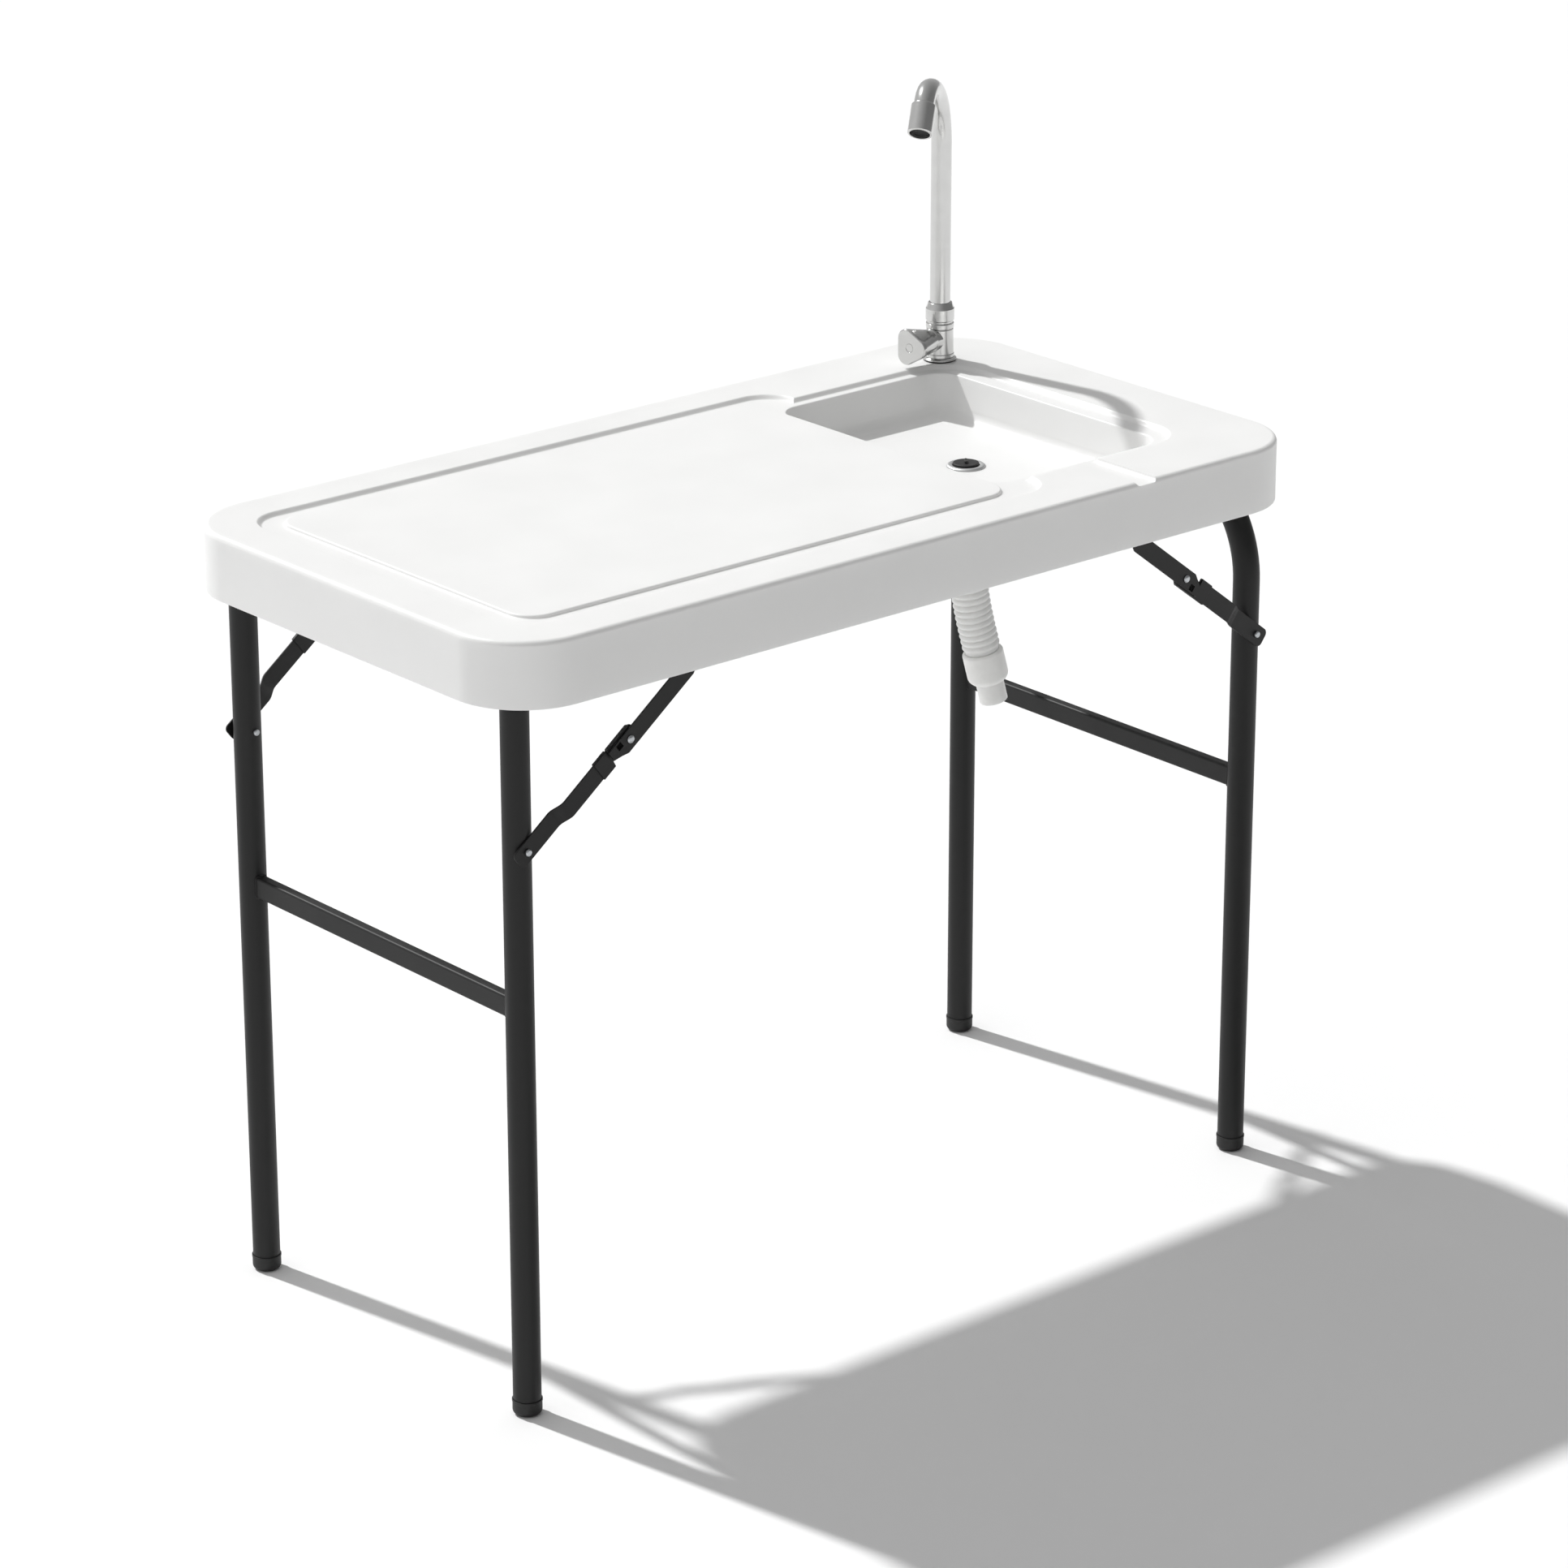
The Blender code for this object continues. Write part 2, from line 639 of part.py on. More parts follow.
def drain():
    body_r = DRAIN_BODY_DIAMETER / 2
    bore_r = body_r - DRAIN_WALL
    seat_r = STOPPER_DIAMETER / 2 + RUNNING
    flange_r = DRAIN_FLANGE_DIAMETER / 2
    top = GAP + DRAIN_FLANGE_THICKNESS
    tail = -SINK_FLOOR_WALL - DRAIN_TAIL
    turned_at_drain("drain_body", [
        (flange_r, GAP), (flange_r, top - EDGE), (flange_r - DRAIN_FLANGE_EDGE, top), (seat_r, top),
        (bore_r, 0.0), (bore_r, tail), (body_r, tail), (body_r, GAP)], zinc_steel())
    nut_top = -SINK_FLOOR_WALL - GAP
    nut_r = DRAIN_NUT_DIAMETER / 2
    nut_bottom = nut_top - DRAIN_NUT_HEIGHT
    thread_r = body_r + GAP
    turned_at_drain("drain_nut", [
        (nut_r, nut_top), (thread_r, nut_top), (thread_r, nut_bottom),
        (nut_r - DRAIN_NUT_CHAMFER, nut_bottom), (nut_r, nut_bottom + DRAIN_NUT_CHAMFER)], grey_plastic())
    stopper(top)


def stopper(flange_top):
    """A flat-topped plug that rests on the drain's tapered seat, with a finger bar."""
    r = STOPPER_DIAMETER / 2
    plug_r = STOPPER_PLUG_DIAMETER / 2
    top = flange_top + STOPPER_STAND
    plug = turned([
        (0, -STOPPER_PLUG), (plug_r - STOPPER_CHAMFER, -STOPPER_PLUG),
        (plug_r, -STOPPER_PLUG + STOPPER_CHAMFER), (plug_r, flange_top - GAP), (r, flange_top + GAP),
        (r, top - EDGE), (r - EDGE, top), (0, top)])
    outline = chamfered(STOPPER_BAR_LENGTH, STOPPER_BAR_WIDTH, FINE_EDGE)
    c, s = math.cos(STOPPER_BAR_TURN), math.sin(STOPPER_BAR_TURN)
    outline = [(c * a - s * b, s * a + c * b) for a, b in outline]
    bar = prism(outline, top - EDGE, top + STOPPER_BAR_HEIGHT, along_z)
    mesh = carve(plug, ("UNION", bar))
    place("drain_stopper", mesh, black_rubber(), (DRAIN_X, 0, SINK_FLOOR))


def hose_point(drop):
    """The hose's centre line: straight down, then a steady bend, then straight on; drop is from its top."""
    run = min(max(drop - HOSE_STRAIGHT, 0.0), HOSE_BEND)
    past = max(drop - HOSE_STRAIGHT - HOSE_BEND, 0.0)
    aside = HOSE_LEAN / (2 * HOSE_BEND) * run * run + HOSE_LEAN * past
    top = SINK_UNDER - DRAIN_NUT_HEIGHT - 2 * GAP
    return Vector((DRAIN_X + aside * math.cos(HOSE_HEADING), aside * math.sin(HOSE_HEADING), top - drop))


def hose():
    """A ribbed hose pushed over the drain's tail, with a cuff and a spigot at its lower end."""
    length = HOSE_RIBS * HOSE_PITCH + HOSE_PITCH
    r = HOSE_DIAMETER / 2
    path, radii = [hose_point(0.0)], [r - HOSE_RIB_DEPTH]
    for rib in range(HOSE_RIBS):
        start = HOSE_PITCH * (rib + 0.5)
        path += [hose_point(start + HOSE_PITCH * RIB_CREST), hose_point(start + HOSE_PITCH * RIB_ROOT)]
        radii += [r, r - HOSE_RIB_DEPTH]
    path.append(hose_point(length))
    radii.append(r - HOSE_RIB_DEPTH)
    ribbed = tube(path, radii, sides=BORE_SIDES)
    bore_path = [hose_point(length * i / BEND_STEPS) for i in range(BEND_STEPS + 1)]
    bore_path[0] += Vector((0, 0, OVERRUN))
    bore_path[-1] += (bore_path[-1] - bore_path[-2]).normalized() * OVERRUN
    bore_r = (DRAIN_BODY_DIAMETER / 2 + GAP) / math.cos(math.pi / TUBE_SIDES)
    bore = tube(bore_path, [bore_r] * len(bore_path))
    place("drain_hose", carve(ribbed, ("DIFFERENCE", bore)), grey_plastic())
    hose_end(length)


def hose_end(length):
    """The smooth cuff that closes the hose and the spigot under it, turned about the hose's end line."""
    start = hose_point(length)
    down = (hose_point(length + HOSE_PITCH) - start).normalized()
    turn = down.to_track_quat("Z", "Y").to_matrix()
    cuff_r = CUFF_DIAMETER / 2
    spigot_r = SPIGOT_DIAMETER / 2
    bore_r = SPIGOT_BORE / 2
    place("hose_cuff", turned([
        (bore_r, GAP), (cuff_r - CUFF_EDGE, GAP), (cuff_r, GAP + CUFF_EDGE),
        (cuff_r, CUFF_LENGTH - CUFF_SHOULDER), (cuff_r - CUFF_EDGE, CUFF_LENGTH - CUFF_EDGE),
        (cuff_r - CUFF_SHOULDER, CUFF_LENGTH), (bore_r, CUFF_LENGTH)]),
        grey_plastic(), start, turn)
    low = CUFF_LENGTH + GAP
    place("hose_spigot", turned([
        (bore_r, low), (spigot_r, low), (spigot_r, low + SPIGOT_LENGTH - EDGE),
        (spigot_r - EDGE, low + SPIGOT_LENGTH), (bore_r, low + SPIGOT_LENGTH)]),
        grey_plastic(), start, turn)


# Leg frames

def frame_path(pivot_height, bend):
    """From one leg's foot over the top bar to the other foot, seen from the pivot."""
    low = CAP_FLOOR + GAP - pivot_height
    below = BRACE_LEVEL - pivot_height - STRAIGHT_BELOW_BOLT
    path = [Vector((0, -LEG_Y, low)), Vector((0, -LEG_Y, below))]
    for side, turns in ((-1, range(BEND_STEPS + 1)), (1, range(BEND_STEPS, -1, -1))):
        for i in turns:
            angle = math.pi / 2 * i / BEND_STEPS
            across = LEG_Y - bend * (1 - math.cos(angle))
            path.append(Vector((0, side * across, bend * (math.sin(angle) - 1))))
    path += [Vector((0, LEG_Y, below)), Vector((0, LEG_Y, low))]
    return path


def leg_frame(name, leg_x, pivot_z, bend):
    """The bent tube, its cross bar, its caps and the pins that carry the braces."""
    pivot = empty(f"{name}_frame_pivot", (leg_x, 0, pivot_z))
    path = frame_path(pivot_z, bend)
    mesh = tube(path, [TUBE_R] * len(path), TUBE_R - TUBE_WALL)
    bolt_z = BRACE_LEVEL - pivot_z
    for side in (-1, 1):
        hole = round_bar(BOLT_DIAMETER + 2 * GAP, (0, side * (LEG_Y - 2 * TUBE_R), bolt_z),
                         (0, side * (LEG_Y + 2 * TUBE_R), bolt_z))
        mesh = carve(mesh, ("DIFFERENCE", hole))
    place(f"{name}_leg_tube", mesh, black_paint(), parent=pivot)
    cross_bar(name, pivot, pivot_z)
    for side_name, side in (("front", -1), ("back", 1)):
        foot_cap(f"{name}_{side_name}_foot_cap", pivot, (0, side * LEG_Y, -pivot_z))
        leg_bolt(f"{name}_{side_name}_leg_bolt", pivot, (0, side * LEG_Y, bolt_z), side)
    return pivot


def cross_bar(name, pivot, pivot_z):
    half = LEG_Y - TUBE_R - GAP
    outside = prism(chamfered(BAR_THICKNESS, BAR_HEIGHT, BAR_CHAMFER), -half, half, along_y)
    inside = prism(rectangle(BAR_THICKNESS - 2 * BAR_WALL, BAR_HEIGHT - 2 * BAR_WALL),
                   -half - BAR_WALL, half + BAR_WALL, along_y)
    mesh = carve(outside, ("DIFFERENCE", inside))
    place(f"{name}_cross_bar", mesh, black_paint(), (0, 0, BAR_LEVEL - pivot_z), parent=pivot)


def foot_cap(name, pivot, location):
    r = CAP_DIAMETER / 2
    bore_r = TUBE_R + GAP
    middle = CAP_ROUND * MID_ROUND
    profile = [(0, 0), (r - CAP_ROUND, 0), (r - middle, middle), (r, CAP_ROUND), (r, CAP_HEIGHT - EDGE),
               (r - FINE_EDGE, CAP_HEIGHT), (bore_r, CAP_HEIGHT), (bore_r, CAP_FLOOR), (0, CAP_FLOOR)]
    place(name, turned(profile, TUBE_SIDES), black_rubber(), location, parent=pivot)


def leg_bolt(name, pivot, location, side):
    """A pin through the leg: its head outside the brace and its end formed over inside the leg."""
    head = NEAR_LAYER + STRAP_THICKNESS + STRAP_CLEARANCE
    top = head + BOLT_HEAD_HEIGHT
    inside = -TUBE_R - GAP
    end = inside - BOLT_END_HEIGHT
    r, head_r, end_r = BOLT_DIAMETER / 2, BOLT_HEAD_DIAMETER / 2, BOLT_END_DIAMETER / 2
    profile = [(0, end), (end_r - FINE_EDGE, end), (end_r, end + FINE_EDGE), (end_r, inside), (r, inside),
               (r, head), (head_r, head), (head_r, top - EDGE), (head_r - EDGE, top), (0, top)]
    turn = axes((1, 0, 0), (0, 0, -side))
    place(name, turned(profile, PIN_SIDES), zinc_steel(), location, turn, pivot)


def brackets(name, leg_x, pivot_z):
    """Two saddles that hang the frame's top bar under the deck."""
    outer = TUBE_R + RUNNING + BRACKET_WALL
    top = DECK_UNDER - GAP - pivot_z
    reach = outer + BRACKET_EAR
    plate = top - BRACKET_PLATE
    outline = [(reach, top), (-reach, top), (-reach, plate), (-outer, plate)]
    for i in range(BEND_STEPS + 1):
        angle = math.pi * i / BEND_STEPS
        outline.append((-outer * math.cos(angle), -outer * math.sin(angle)))
    outline += [(outer, plate), (reach, plate)]
    bore_d = TUBE_DIAMETER + 2 * RUNNING
    for side_name, side in (("front", -1), ("back", 1)):
        body = prism(outline, -BRACKET_WIDTH / 2, BRACKET_WIDTH / 2, along_y)
        bore = round_bar(bore_d, (0, -BRACKET_WIDTH, 0), (0, BRACKET_WIDTH, 0), SIDES)
        mesh = carve(body, ("DIFFERENCE", bore))
        location = (leg_x, side * BRACKET_SPREAD / 2, pivot_z)
        place(f"{name}_{side_name}_bracket", mesh, black_paint(), location)


# Braces. A strap lies along its own X, with Y outwards from the leg; its Z is across the strap.

def strap(stations, thickness):
    """A bar of rectangular section through (along, inner face, low edge, high edge) stations."""
    return loft([[Vector((s, y, low)), Vector((s, y + thickness, low)),
                  Vector((s, y + thickness, high)), Vector((s, y, high))] for s, y, low, high in stations])


def rounded_end(end, radius, half, inward, steps=3):
    """(along, half width) pairs of a strap's end with round corners, from its tip inwards."""
    return [(end + inward * radius * (1 - math.cos(math.pi / 2 * i / steps)),
             half - radius * (1 - math.sin(math.pi / 2 * i / steps))) for i in range(steps + 1)]


def lower_arm_mesh():
    """The strap from the leg to the knee: it steps outwards and has a cut edge, a lip and the knee's boss."""
    half = LOWER_STRAP_WIDTH / 2
    nose = LOWER_ARM + LOWER_STRAP_NOSE
    start = rounded_end(-LOWER_STRAP_TAIL, STRAP_CORNER, half, 1)
    finish = rounded_end(nose, STRAP_CORNER, half, -1)[::-1]
    stations = [(s, NEAR_LAYER, -h, h) for s, h in start]
    stations.append((JOGGLE_START, NEAR_LAYER, -half, half))
    stations.append((JOGGLE_START + JOGGLE_LENGTH, LOWER_LAYER, -half, half))
    cut = LOWER_ARM - UPPER_TAIL
    stations.append((cut, LOWER_LAYER, -half, half))
    stations.append((cut + EDGE, LOWER_LAYER, -half, half - LOWER_CUT_DEPTH))
    stations.append((LOWER_ARM - LOWER_CUT_END, LOWER_LAYER, -half, half))
    stations += [(s, LOWER_LAYER, -h, h) for s, h in finish]
    lip = prism(rectangle(LIP_LENGTH, LIP_THICKNESS), LOWER_LAYER, LIP_TOP, along_y)
    lip_at = Vector((LOWER_ARM - LIP_BACK + LIP_LENGTH / 2, 0, GAP - half - LIP_THICKNESS / 2))
    lip.transform(Matrix.Translation(lip_at))
    boss = round_bar(KNEE_BOSS_DIAMETER, (LOWER_ARM, LOWER_LAYER + STRAP_THICKNESS / 2, 0),
                     (LOWER_ARM, UPPER_LAYER - GAP, 0))
    knee_hole = round_bar(RIVET_DIAMETER + 2 * RUNNING, (LOWER_ARM, 0, 0),
                          (LOWER_ARM, RAIL_LAYER, 0))
    bolt_hole = round_bar(BOLT_DIAMETER + 2 * RUNNING, (0, 0, 0), (0, RAIL_LAYER, 0))
    return carve(strap(stations, STRAP_THICKNESS), ("UNION", lip), ("UNION", boss),
                 ("DIFFERENCE", knee_hole), ("DIFFERENCE", bolt_hole))


def upper_arm_mesh(length):
    """The strap from the knee to the rail, with a tapered tail that lies over the lower arm."""
    half = UPPER_STRAP_WIDTH / 2
    end_half = UPPER_END_WIDTH / 2
    tip = -half + UPPER_TAIL_TIP
    stations = [(-UPPER_TAIL, UPPER_LAYER, -half + EDGE, tip),
                (-UPPER_TAIL + EDGE, UPPER_LAYER, -half, tip + EDGE),
                (-half, UPPER_LAYER, -half, half),
                (length - UPPER_NECK_START, UPPER_LAYER, -half, half),
                (length - UPPER_NECK_END, UPPER_LAYER, -end_half, end_half)]
    finish = rounded_end(length + end_half, end_half - FINE_EDGE, end_half, -1)[::-1]
    stations += [(s, UPPER_LAYER, -h, h) for s, h in finish]
    square = prism(rectangle(SQUARE_HOLE, SQUARE_HOLE), 0, RAIL_LAYER, along_y)
    square.transform(Matrix.Translation(Vector((-SQUARE_HOLE_BACK, 0, -SQUARE_HOLE_DOWN))))
    holes = [round_bar(RIVET_DIAMETER + 2 * GAP, (s, 0, 0), (s, RAIL_LAYER, 0)) for s in (0, length)]
    cuts = [("DIFFERENCE", cutter) for cutter in [square] + holes]
    return carve(strap(stations, STRAP_THICKNESS), *cuts)


def lock_ring_mesh():
    """A flat sleeve that slides along the lower arm and locks the knee."""
    width = LOWER_STRAP_WIDTH + 2 * RUNNING
    depth = STRAP_THICKNESS + 2 * RUNNING
    outside = prism(chamfered(depth + 2 * LOCK_WALL, width + 2 * LOCK_WALL, FINE_EDGE),
                    -LOCK_LENGTH / 2, LOCK_LENGTH / 2, along_x)
    inside = prism(rectangle(depth, width), -LOCK_LENGTH, LOCK_LENGTH, along_x)
    return carve(outside, ("DIFFERENCE", inside))


def rivet_mesh(low, high, tail_height, head_height):
    """A rivet along its own Z: a tail head below low, a shank and a domed head above high."""
    r, head_r, tail_r = RIVET_DIAMETER / 2, RIVET_HEAD_DIAMETER / 2, RIVET_TAIL_DIAMETER / 2
    profile = [(0, low - tail_height), (tail_r * DOME_FLAT, low - tail_height),
               (tail_r, low - tail_height * DOME_SHOULDER), (tail_r, low), (r, low)]
    if head_height:
        profile += [(r, high), (head_r, high), (head_r, high + head_height * DOME_SHOULDER),
                    (head_r * DOME_FLAT, high + head_height), (0, high + head_height)]
    else:
        profile += [(r, high), (0, high)]
    return turned(profile, PIN_SIDES)


def brace(name, pivot, pivot_z, inward, side, rail_offset):
    """One brace: lower arm on the leg bolt, lock ring, upper arm on the knee rivet, and the rail rivet."""
    length = math.hypot(rail_offset, BRACE_SLOPE * rail_offset) - LOWER_ARM
    direction = (inward * math.cos(BRACE_ANGLE), 0, math.sin(BRACE_ANGLE))
    lower = place(f"{name}_lower_arm", lower_arm_mesh(), black_paint(),
                  (0, side * LEG_Y, BRACE_LEVEL - pivot_z), axes(direction, (0, side, 0)), pivot)
    lock_x = LOWER_ARM - UPPER_TAIL - LOCK_FROM_TAIL - LOCK_LENGTH / 2
    place(f"{name}_lock_ring", lock_ring_mesh(), black_paint(),
          (lock_x, LOWER_LAYER + STRAP_THICKNESS / 2, 0), parent=lower)
    upper = place(f"{name}_upper_arm", upper_arm_mesh(length), black_paint(), (LOWER_ARM, 0, 0), parent=lower)
    outwards = Matrix.Rotation(-math.pi / 2, 3, "X")
    knee_rivet = rivet_mesh(LOWER_LAYER - GAP, UPPER_OUTSIDE + GAP, RIVET_HEAD_HEIGHT, RIVET_HEAD_HEIGHT)
    place(f"{name}_knee_rivet", knee_rivet, zinc_steel(), rotation=outwards, parent=upper)
    rail_rivet = rivet_mesh(UPPER_LAYER - GAP, UPPER_OUTSIDE, RIVET_HEAD_HEIGHT, 0)
    place(f"{name}_rail_rivet", rail_rivet, zinc_steel(), (length, 0, 0), outwards, upper)


# Tap. Heights are above the rim that it stands on.

def turned_at_tap(name, profile, surface, steps=SIDES):
    return place(name, turned(profile, steps), surface, (TAP_X, TAP_Y, RIM_HEIGHT))


def tap_body():
    """Gasket, flange, body with its threaded shank, and the washer and nut under the deck."""
    shank_r = TAP_SHANK_DIAMETER / 2
    hole_r = shank_r + GAP
    flange_r = TAP_FLANGE_DIAMETER / 2
    gasket_top = GAP + TAP_GASKET_THICKNESS
    gasket_r = flange_r - FINE_EDGE
    turned_at_tap("tap_gasket", [(hole_r, GAP), (gasket_r, GAP), (gasket_r, gasket_top), (hole_r, gasket_top)],
                  black_rubber())
    low = gasket_top + GAP
    flange_top = low + TAP_FLANGE_THICKNESS
    turned_at_tap("tap_flange", [(hole_r, low), (flange_r, low), (flange_r, flange_top - EDGE),
                                 (flange_r - EDGE, flange_top), (hole_r, flange_top)], brushed_chrome())
    body_r, ring_r, groove_r = TAP_BODY_DIAMETER / 2, TAP_RING_DIAMETER / 2, TAP_GROOVE_DIAMETER / 2
    bore_r = TAP_BORE / 2
    base = flange_top + GAP
    under = -TAP_SHANK_LENGTH
    turned_at_tap("tap_body", [
        (bore_r, under), (shank_r - EDGE, under), (shank_r, under + EDGE), (shank_r, base),
        (body_r + FINE_EDGE, base), (body_r, base + TAP_BODY_FOOT),
        (body_r, TAP_BODY_HEIGHT - FINE_EDGE), (groove_r, TAP_BODY_HEIGHT),
        (ring_r, TAP_BODY_HEIGHT + FINE_EDGE), (ring_r, TAP_RING_HEIGHT - FINE_EDGE),
        (ring_r - FINE_EDGE, TAP_RING_HEIGHT), (groove_r, TAP_RING_HEIGHT + FINE_EDGE),
        (groove_r, TAP_NUT_BOTTOM - GAP), (bore_r, TAP_NUT_BOTTOM - GAP)], brushed_chrome())
    deck = DECK_UNDER - RIM_HEIGHT
    washer_r = TAP_WASHER_DIAMETER / 2
    washer_low = deck - GAP - TAP_WASHER_THICKNESS
    turned_at_tap("tap_washer", [(hole_r, washer_low), (washer_r, washer_low), (washer_r, deck - GAP),
                                 (hole_r, deck - GAP)], zinc_steel())
    nut_top = washer_low - GAP
    nut = prism(polygon(TAP_LOCK_NUT_DIAMETER, 6), nut_top - TAP_LOCK_NUT_HEIGHT, nut_top, along_z)
    thread = round_bar(2 * hole_r, (0, 0, nut_top - 2 * TAP_LOCK_NUT_HEIGHT), (0, 0, nut_top + GAP), SIDES)
    place("tap_lock_nut", carve(nut, ("DIFFERENCE", thread)), zinc_steel(), (TAP_X, TAP_Y, RIM_HEIGHT))


def bend(start, heading, begin, end, radius, steps):
    """Points of an arc in the spout's upright plane; its direction turns from one angle to another, 0 is up."""
    points = []
    for i in range(steps + 1):
        angle = begin + (end - begin) * i / steps
        points.append(start + radius * ((math.cos(begin) - math.cos(angle)) * heading
                                        + Vector((0, 0, math.sin(angle) - math.sin(begin)))))
    return points


def spout():
    """The collar nut, and the gooseneck that swivels in it with its tip sleeve and aerator."""
    r = SPOUT_DIAMETER / 2
    nut_r = TAP_NUT_DIAMETER / 2
    turned_at_tap("tap_collar_nut", [
        (r + RUNNING, TAP_NUT_BOTTOM), (nut_r - FINE_EDGE, TAP_NUT_BOTTOM),
        (nut_r, TAP_NUT_BOTTOM + FINE_EDGE),
        (nut_r, TAP_NUT_TOP - FINE_EDGE), (nut_r - FINE_EDGE, TAP_NUT_TOP), (r + TAP_CONE_LAND, TAP_CONE_TOP),
        (r + RUNNING, TAP_CONE_TOP)], brushed_chrome())
    heading = Vector((math.cos(SPOUT_HEADING), math.sin(SPOUT_HEADING), 0))
    rise = Vector((0, 0, SPOUT_RISE))
    path = [Vector((0, 0, TAP_NUT_BOTTOM + GAP)), Vector((0, 0, (TAP_CONE_TOP + SPOUT_RISE) / 2))]
    path += bend(rise, heading, 0, SPOUT_TURN, SPOUT_RADIUS, SPOUT_STEPS)
    path += bend(path[-1], heading, SPOUT_TURN, SPOUT_END_TURN, SPOUT_END_RADIUS, SPOUT_END_STEPS)[1:]
    end_way = math.sin(SPOUT_END_TURN) * heading + Vector((0, 0, math.cos(SPOUT_END_TURN)))
    mouth = path[-1] + SPOUT_TIP * end_way
    path.append(mouth - (TIP_MOUTH + GAP) * end_way)
    swivel = place("tap_spout", tube(path, [r] * len(path), r - SPOUT_WALL), brushed_chrome(),
                   (TAP_X, TAP_Y, RIM_HEIGHT))
    turn = (-end_way).to_track_quat("Z", "Y").to_matrix()
    tip_r = TIP_DIAMETER / 2
    mouth_r = r - GAP
    place("spout_tip", turned([
        (mouth_r, 0), (tip_r - FINE_EDGE, 0), (tip_r, FINE_EDGE), (tip_r, TIP_LENGTH - EDGE),
        (tip_r - EDGE, TIP_LENGTH), (r + GAP, TIP_LENGTH), (r + GAP, TIP_MOUTH), (mouth_r, TIP_MOUTH)]),
        brushed_chrome(), mouth, turn, swivel)
    low = AERATOR_RECESS
    high = low + AERATOR_THICKNESS
    screen_r = mouth_r - GAP
    place("spout_aerator", turned([
        (0, low + EDGE), (screen_r * SCREEN_SHARE, low + EDGE),
        (screen_r * SCREEN_RIM_SHARE, low), (screen_r, low),
        (screen_r, high), (0, high)]), black_rubber(), mouth, turn, swivel)


def rounded_triangle(circumradius, corner, points):
    """Points of a triangle with round corners, one corner along +X, evenly spaced by angle at each corner."""
    outline = []
    each = points // 3
    reach = circumradius - corner
    for k in range(3):
        centre_angle = 2 * math.pi * k / 3
        centre = reach * math.cos(centre_angle), reach * math.sin(centre_angle)
        for i in range(each):
            angle = centre_angle - math.pi / 3 + 2 * math.pi / 3 * i / (each - 1)
            outline.append((centre[0] + corner * math.cos(angle), centre[1] + corner * math.sin(angle)))
    return outline


def tap_knob():
    """The three-cornered knob, which passes into a round neck, on the body's short side boss."""
    way = Vector((math.cos(KNOB_HEADING), math.sin(KNOB_HEADING), 0))
    turn = axes(Vector((0, 0, 1)).cross(way), (0, 0, 1))
    centre = Vector((TAP_X, TAP_Y, RIM_HEIGHT + KNOB_LEVEL))
    neck = KNOB_NECK_DIAMETER / 2
    boss = round_bar(KNOB_NECK_DIAMETER, (0, 0, 0), (0, 0, KNOB_START - GAP), SIDES)
    body = round_bar(TAP_BODY_DIAMETER + 2 * GAP + 2 * FINE_EDGE, (0, -TAP_BODY_HEIGHT, 0),
                     (0, TAP_BODY_HEIGHT, 0), SIDES)
    place("tap_valve_boss", carve(boss, ("DIFFERENCE", body)), brushed_chrome(), centre, turn)
    mesh = knob_mesh(neck)
    place("tap_knob", mesh, brushed_chrome(), centre, turn)


def knob_mesh(neck):
    """The knob along its own Z: a round neck that opens into three lobes, with a button sunk in its face."""
    rings = []
    flare = KNOB_REACH - KNOB_RIM
    for step in range(KNOB_STEPS + 1):
        share = step / KNOB_STEPS
        height = KNOB_START + (flare - KNOB_START) * share
        triangle = rounded_triangle(KNOB_CIRCUMRADIUS, KNOB_CORNER, KNOB_SIDES)
        circle = rounded_triangle(neck, neck, KNOB_SIDES)
        rings.append([Vector((c[0] + (t[0] - c[0]) * share, c[1] + (t[1] - c[1]) * share, height))
                      for c, t in zip(circle, triangle)])
    for height, shrink in ((KNOB_REACH - KNOB_ROUND, 0.0), (KNOB_REACH, KNOB_ROUND)):
        outline = rounded_triangle(KNOB_CIRCUMRADIUS - shrink, KNOB_CORNER - shrink, KNOB_SIDES)
        rings.append([Vector((a, b, height)) for a, b in outline])
    button = round_bar(KNOB_BUTTON_DIAMETER, (0, 0, KNOB_REACH - KNOB_BUTTON_DEPTH),
                       (0, 0, KNOB_REACH + KNOB_ROUND))
    return carve(loft(rings), ("DIFFERENCE", button))


def main():
    clear_scene()
    tabletop()
    rails()
    drain()
    hose()
    tap_body()
    spout()
    tap_knob()
    for name, leg_x, pivot_z, bend, inward, offset in (
            ("left", LEFT_LEG_X, LEFT_PIVOT_Z, LEFT_BEND, 1, LEFT_RAIL_OFFSET),
            ("right", RIGHT_LEG_X, RIGHT_PIVOT_Z, RIGHT_BEND, -1, RIGHT_RAIL_OFFSET)):
        pivot = leg_frame(name, leg_x, pivot_z, bend)
        brackets(name, leg_x, pivot_z)
        for side_name, side in (("front", -1), ("back", 1)):
            brace(f"{name}_{side_name}", pivot, pivot_z, inward, side, offset)


main()
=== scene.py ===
"""Dresses a packed folding fish-cleaning table: top, sink, tap, drain hose and two folding leg frames.

Metres, +Z up. +X points to the sink end, +Y to the tap side and the floor is at z = 0.
"""

import math

import bmesh
import bpy
import numpy as np
from bpy.props import FloatProperty, FloatVectorProperty, IntProperty, PointerProperty
from mathutils import Matrix, Vector


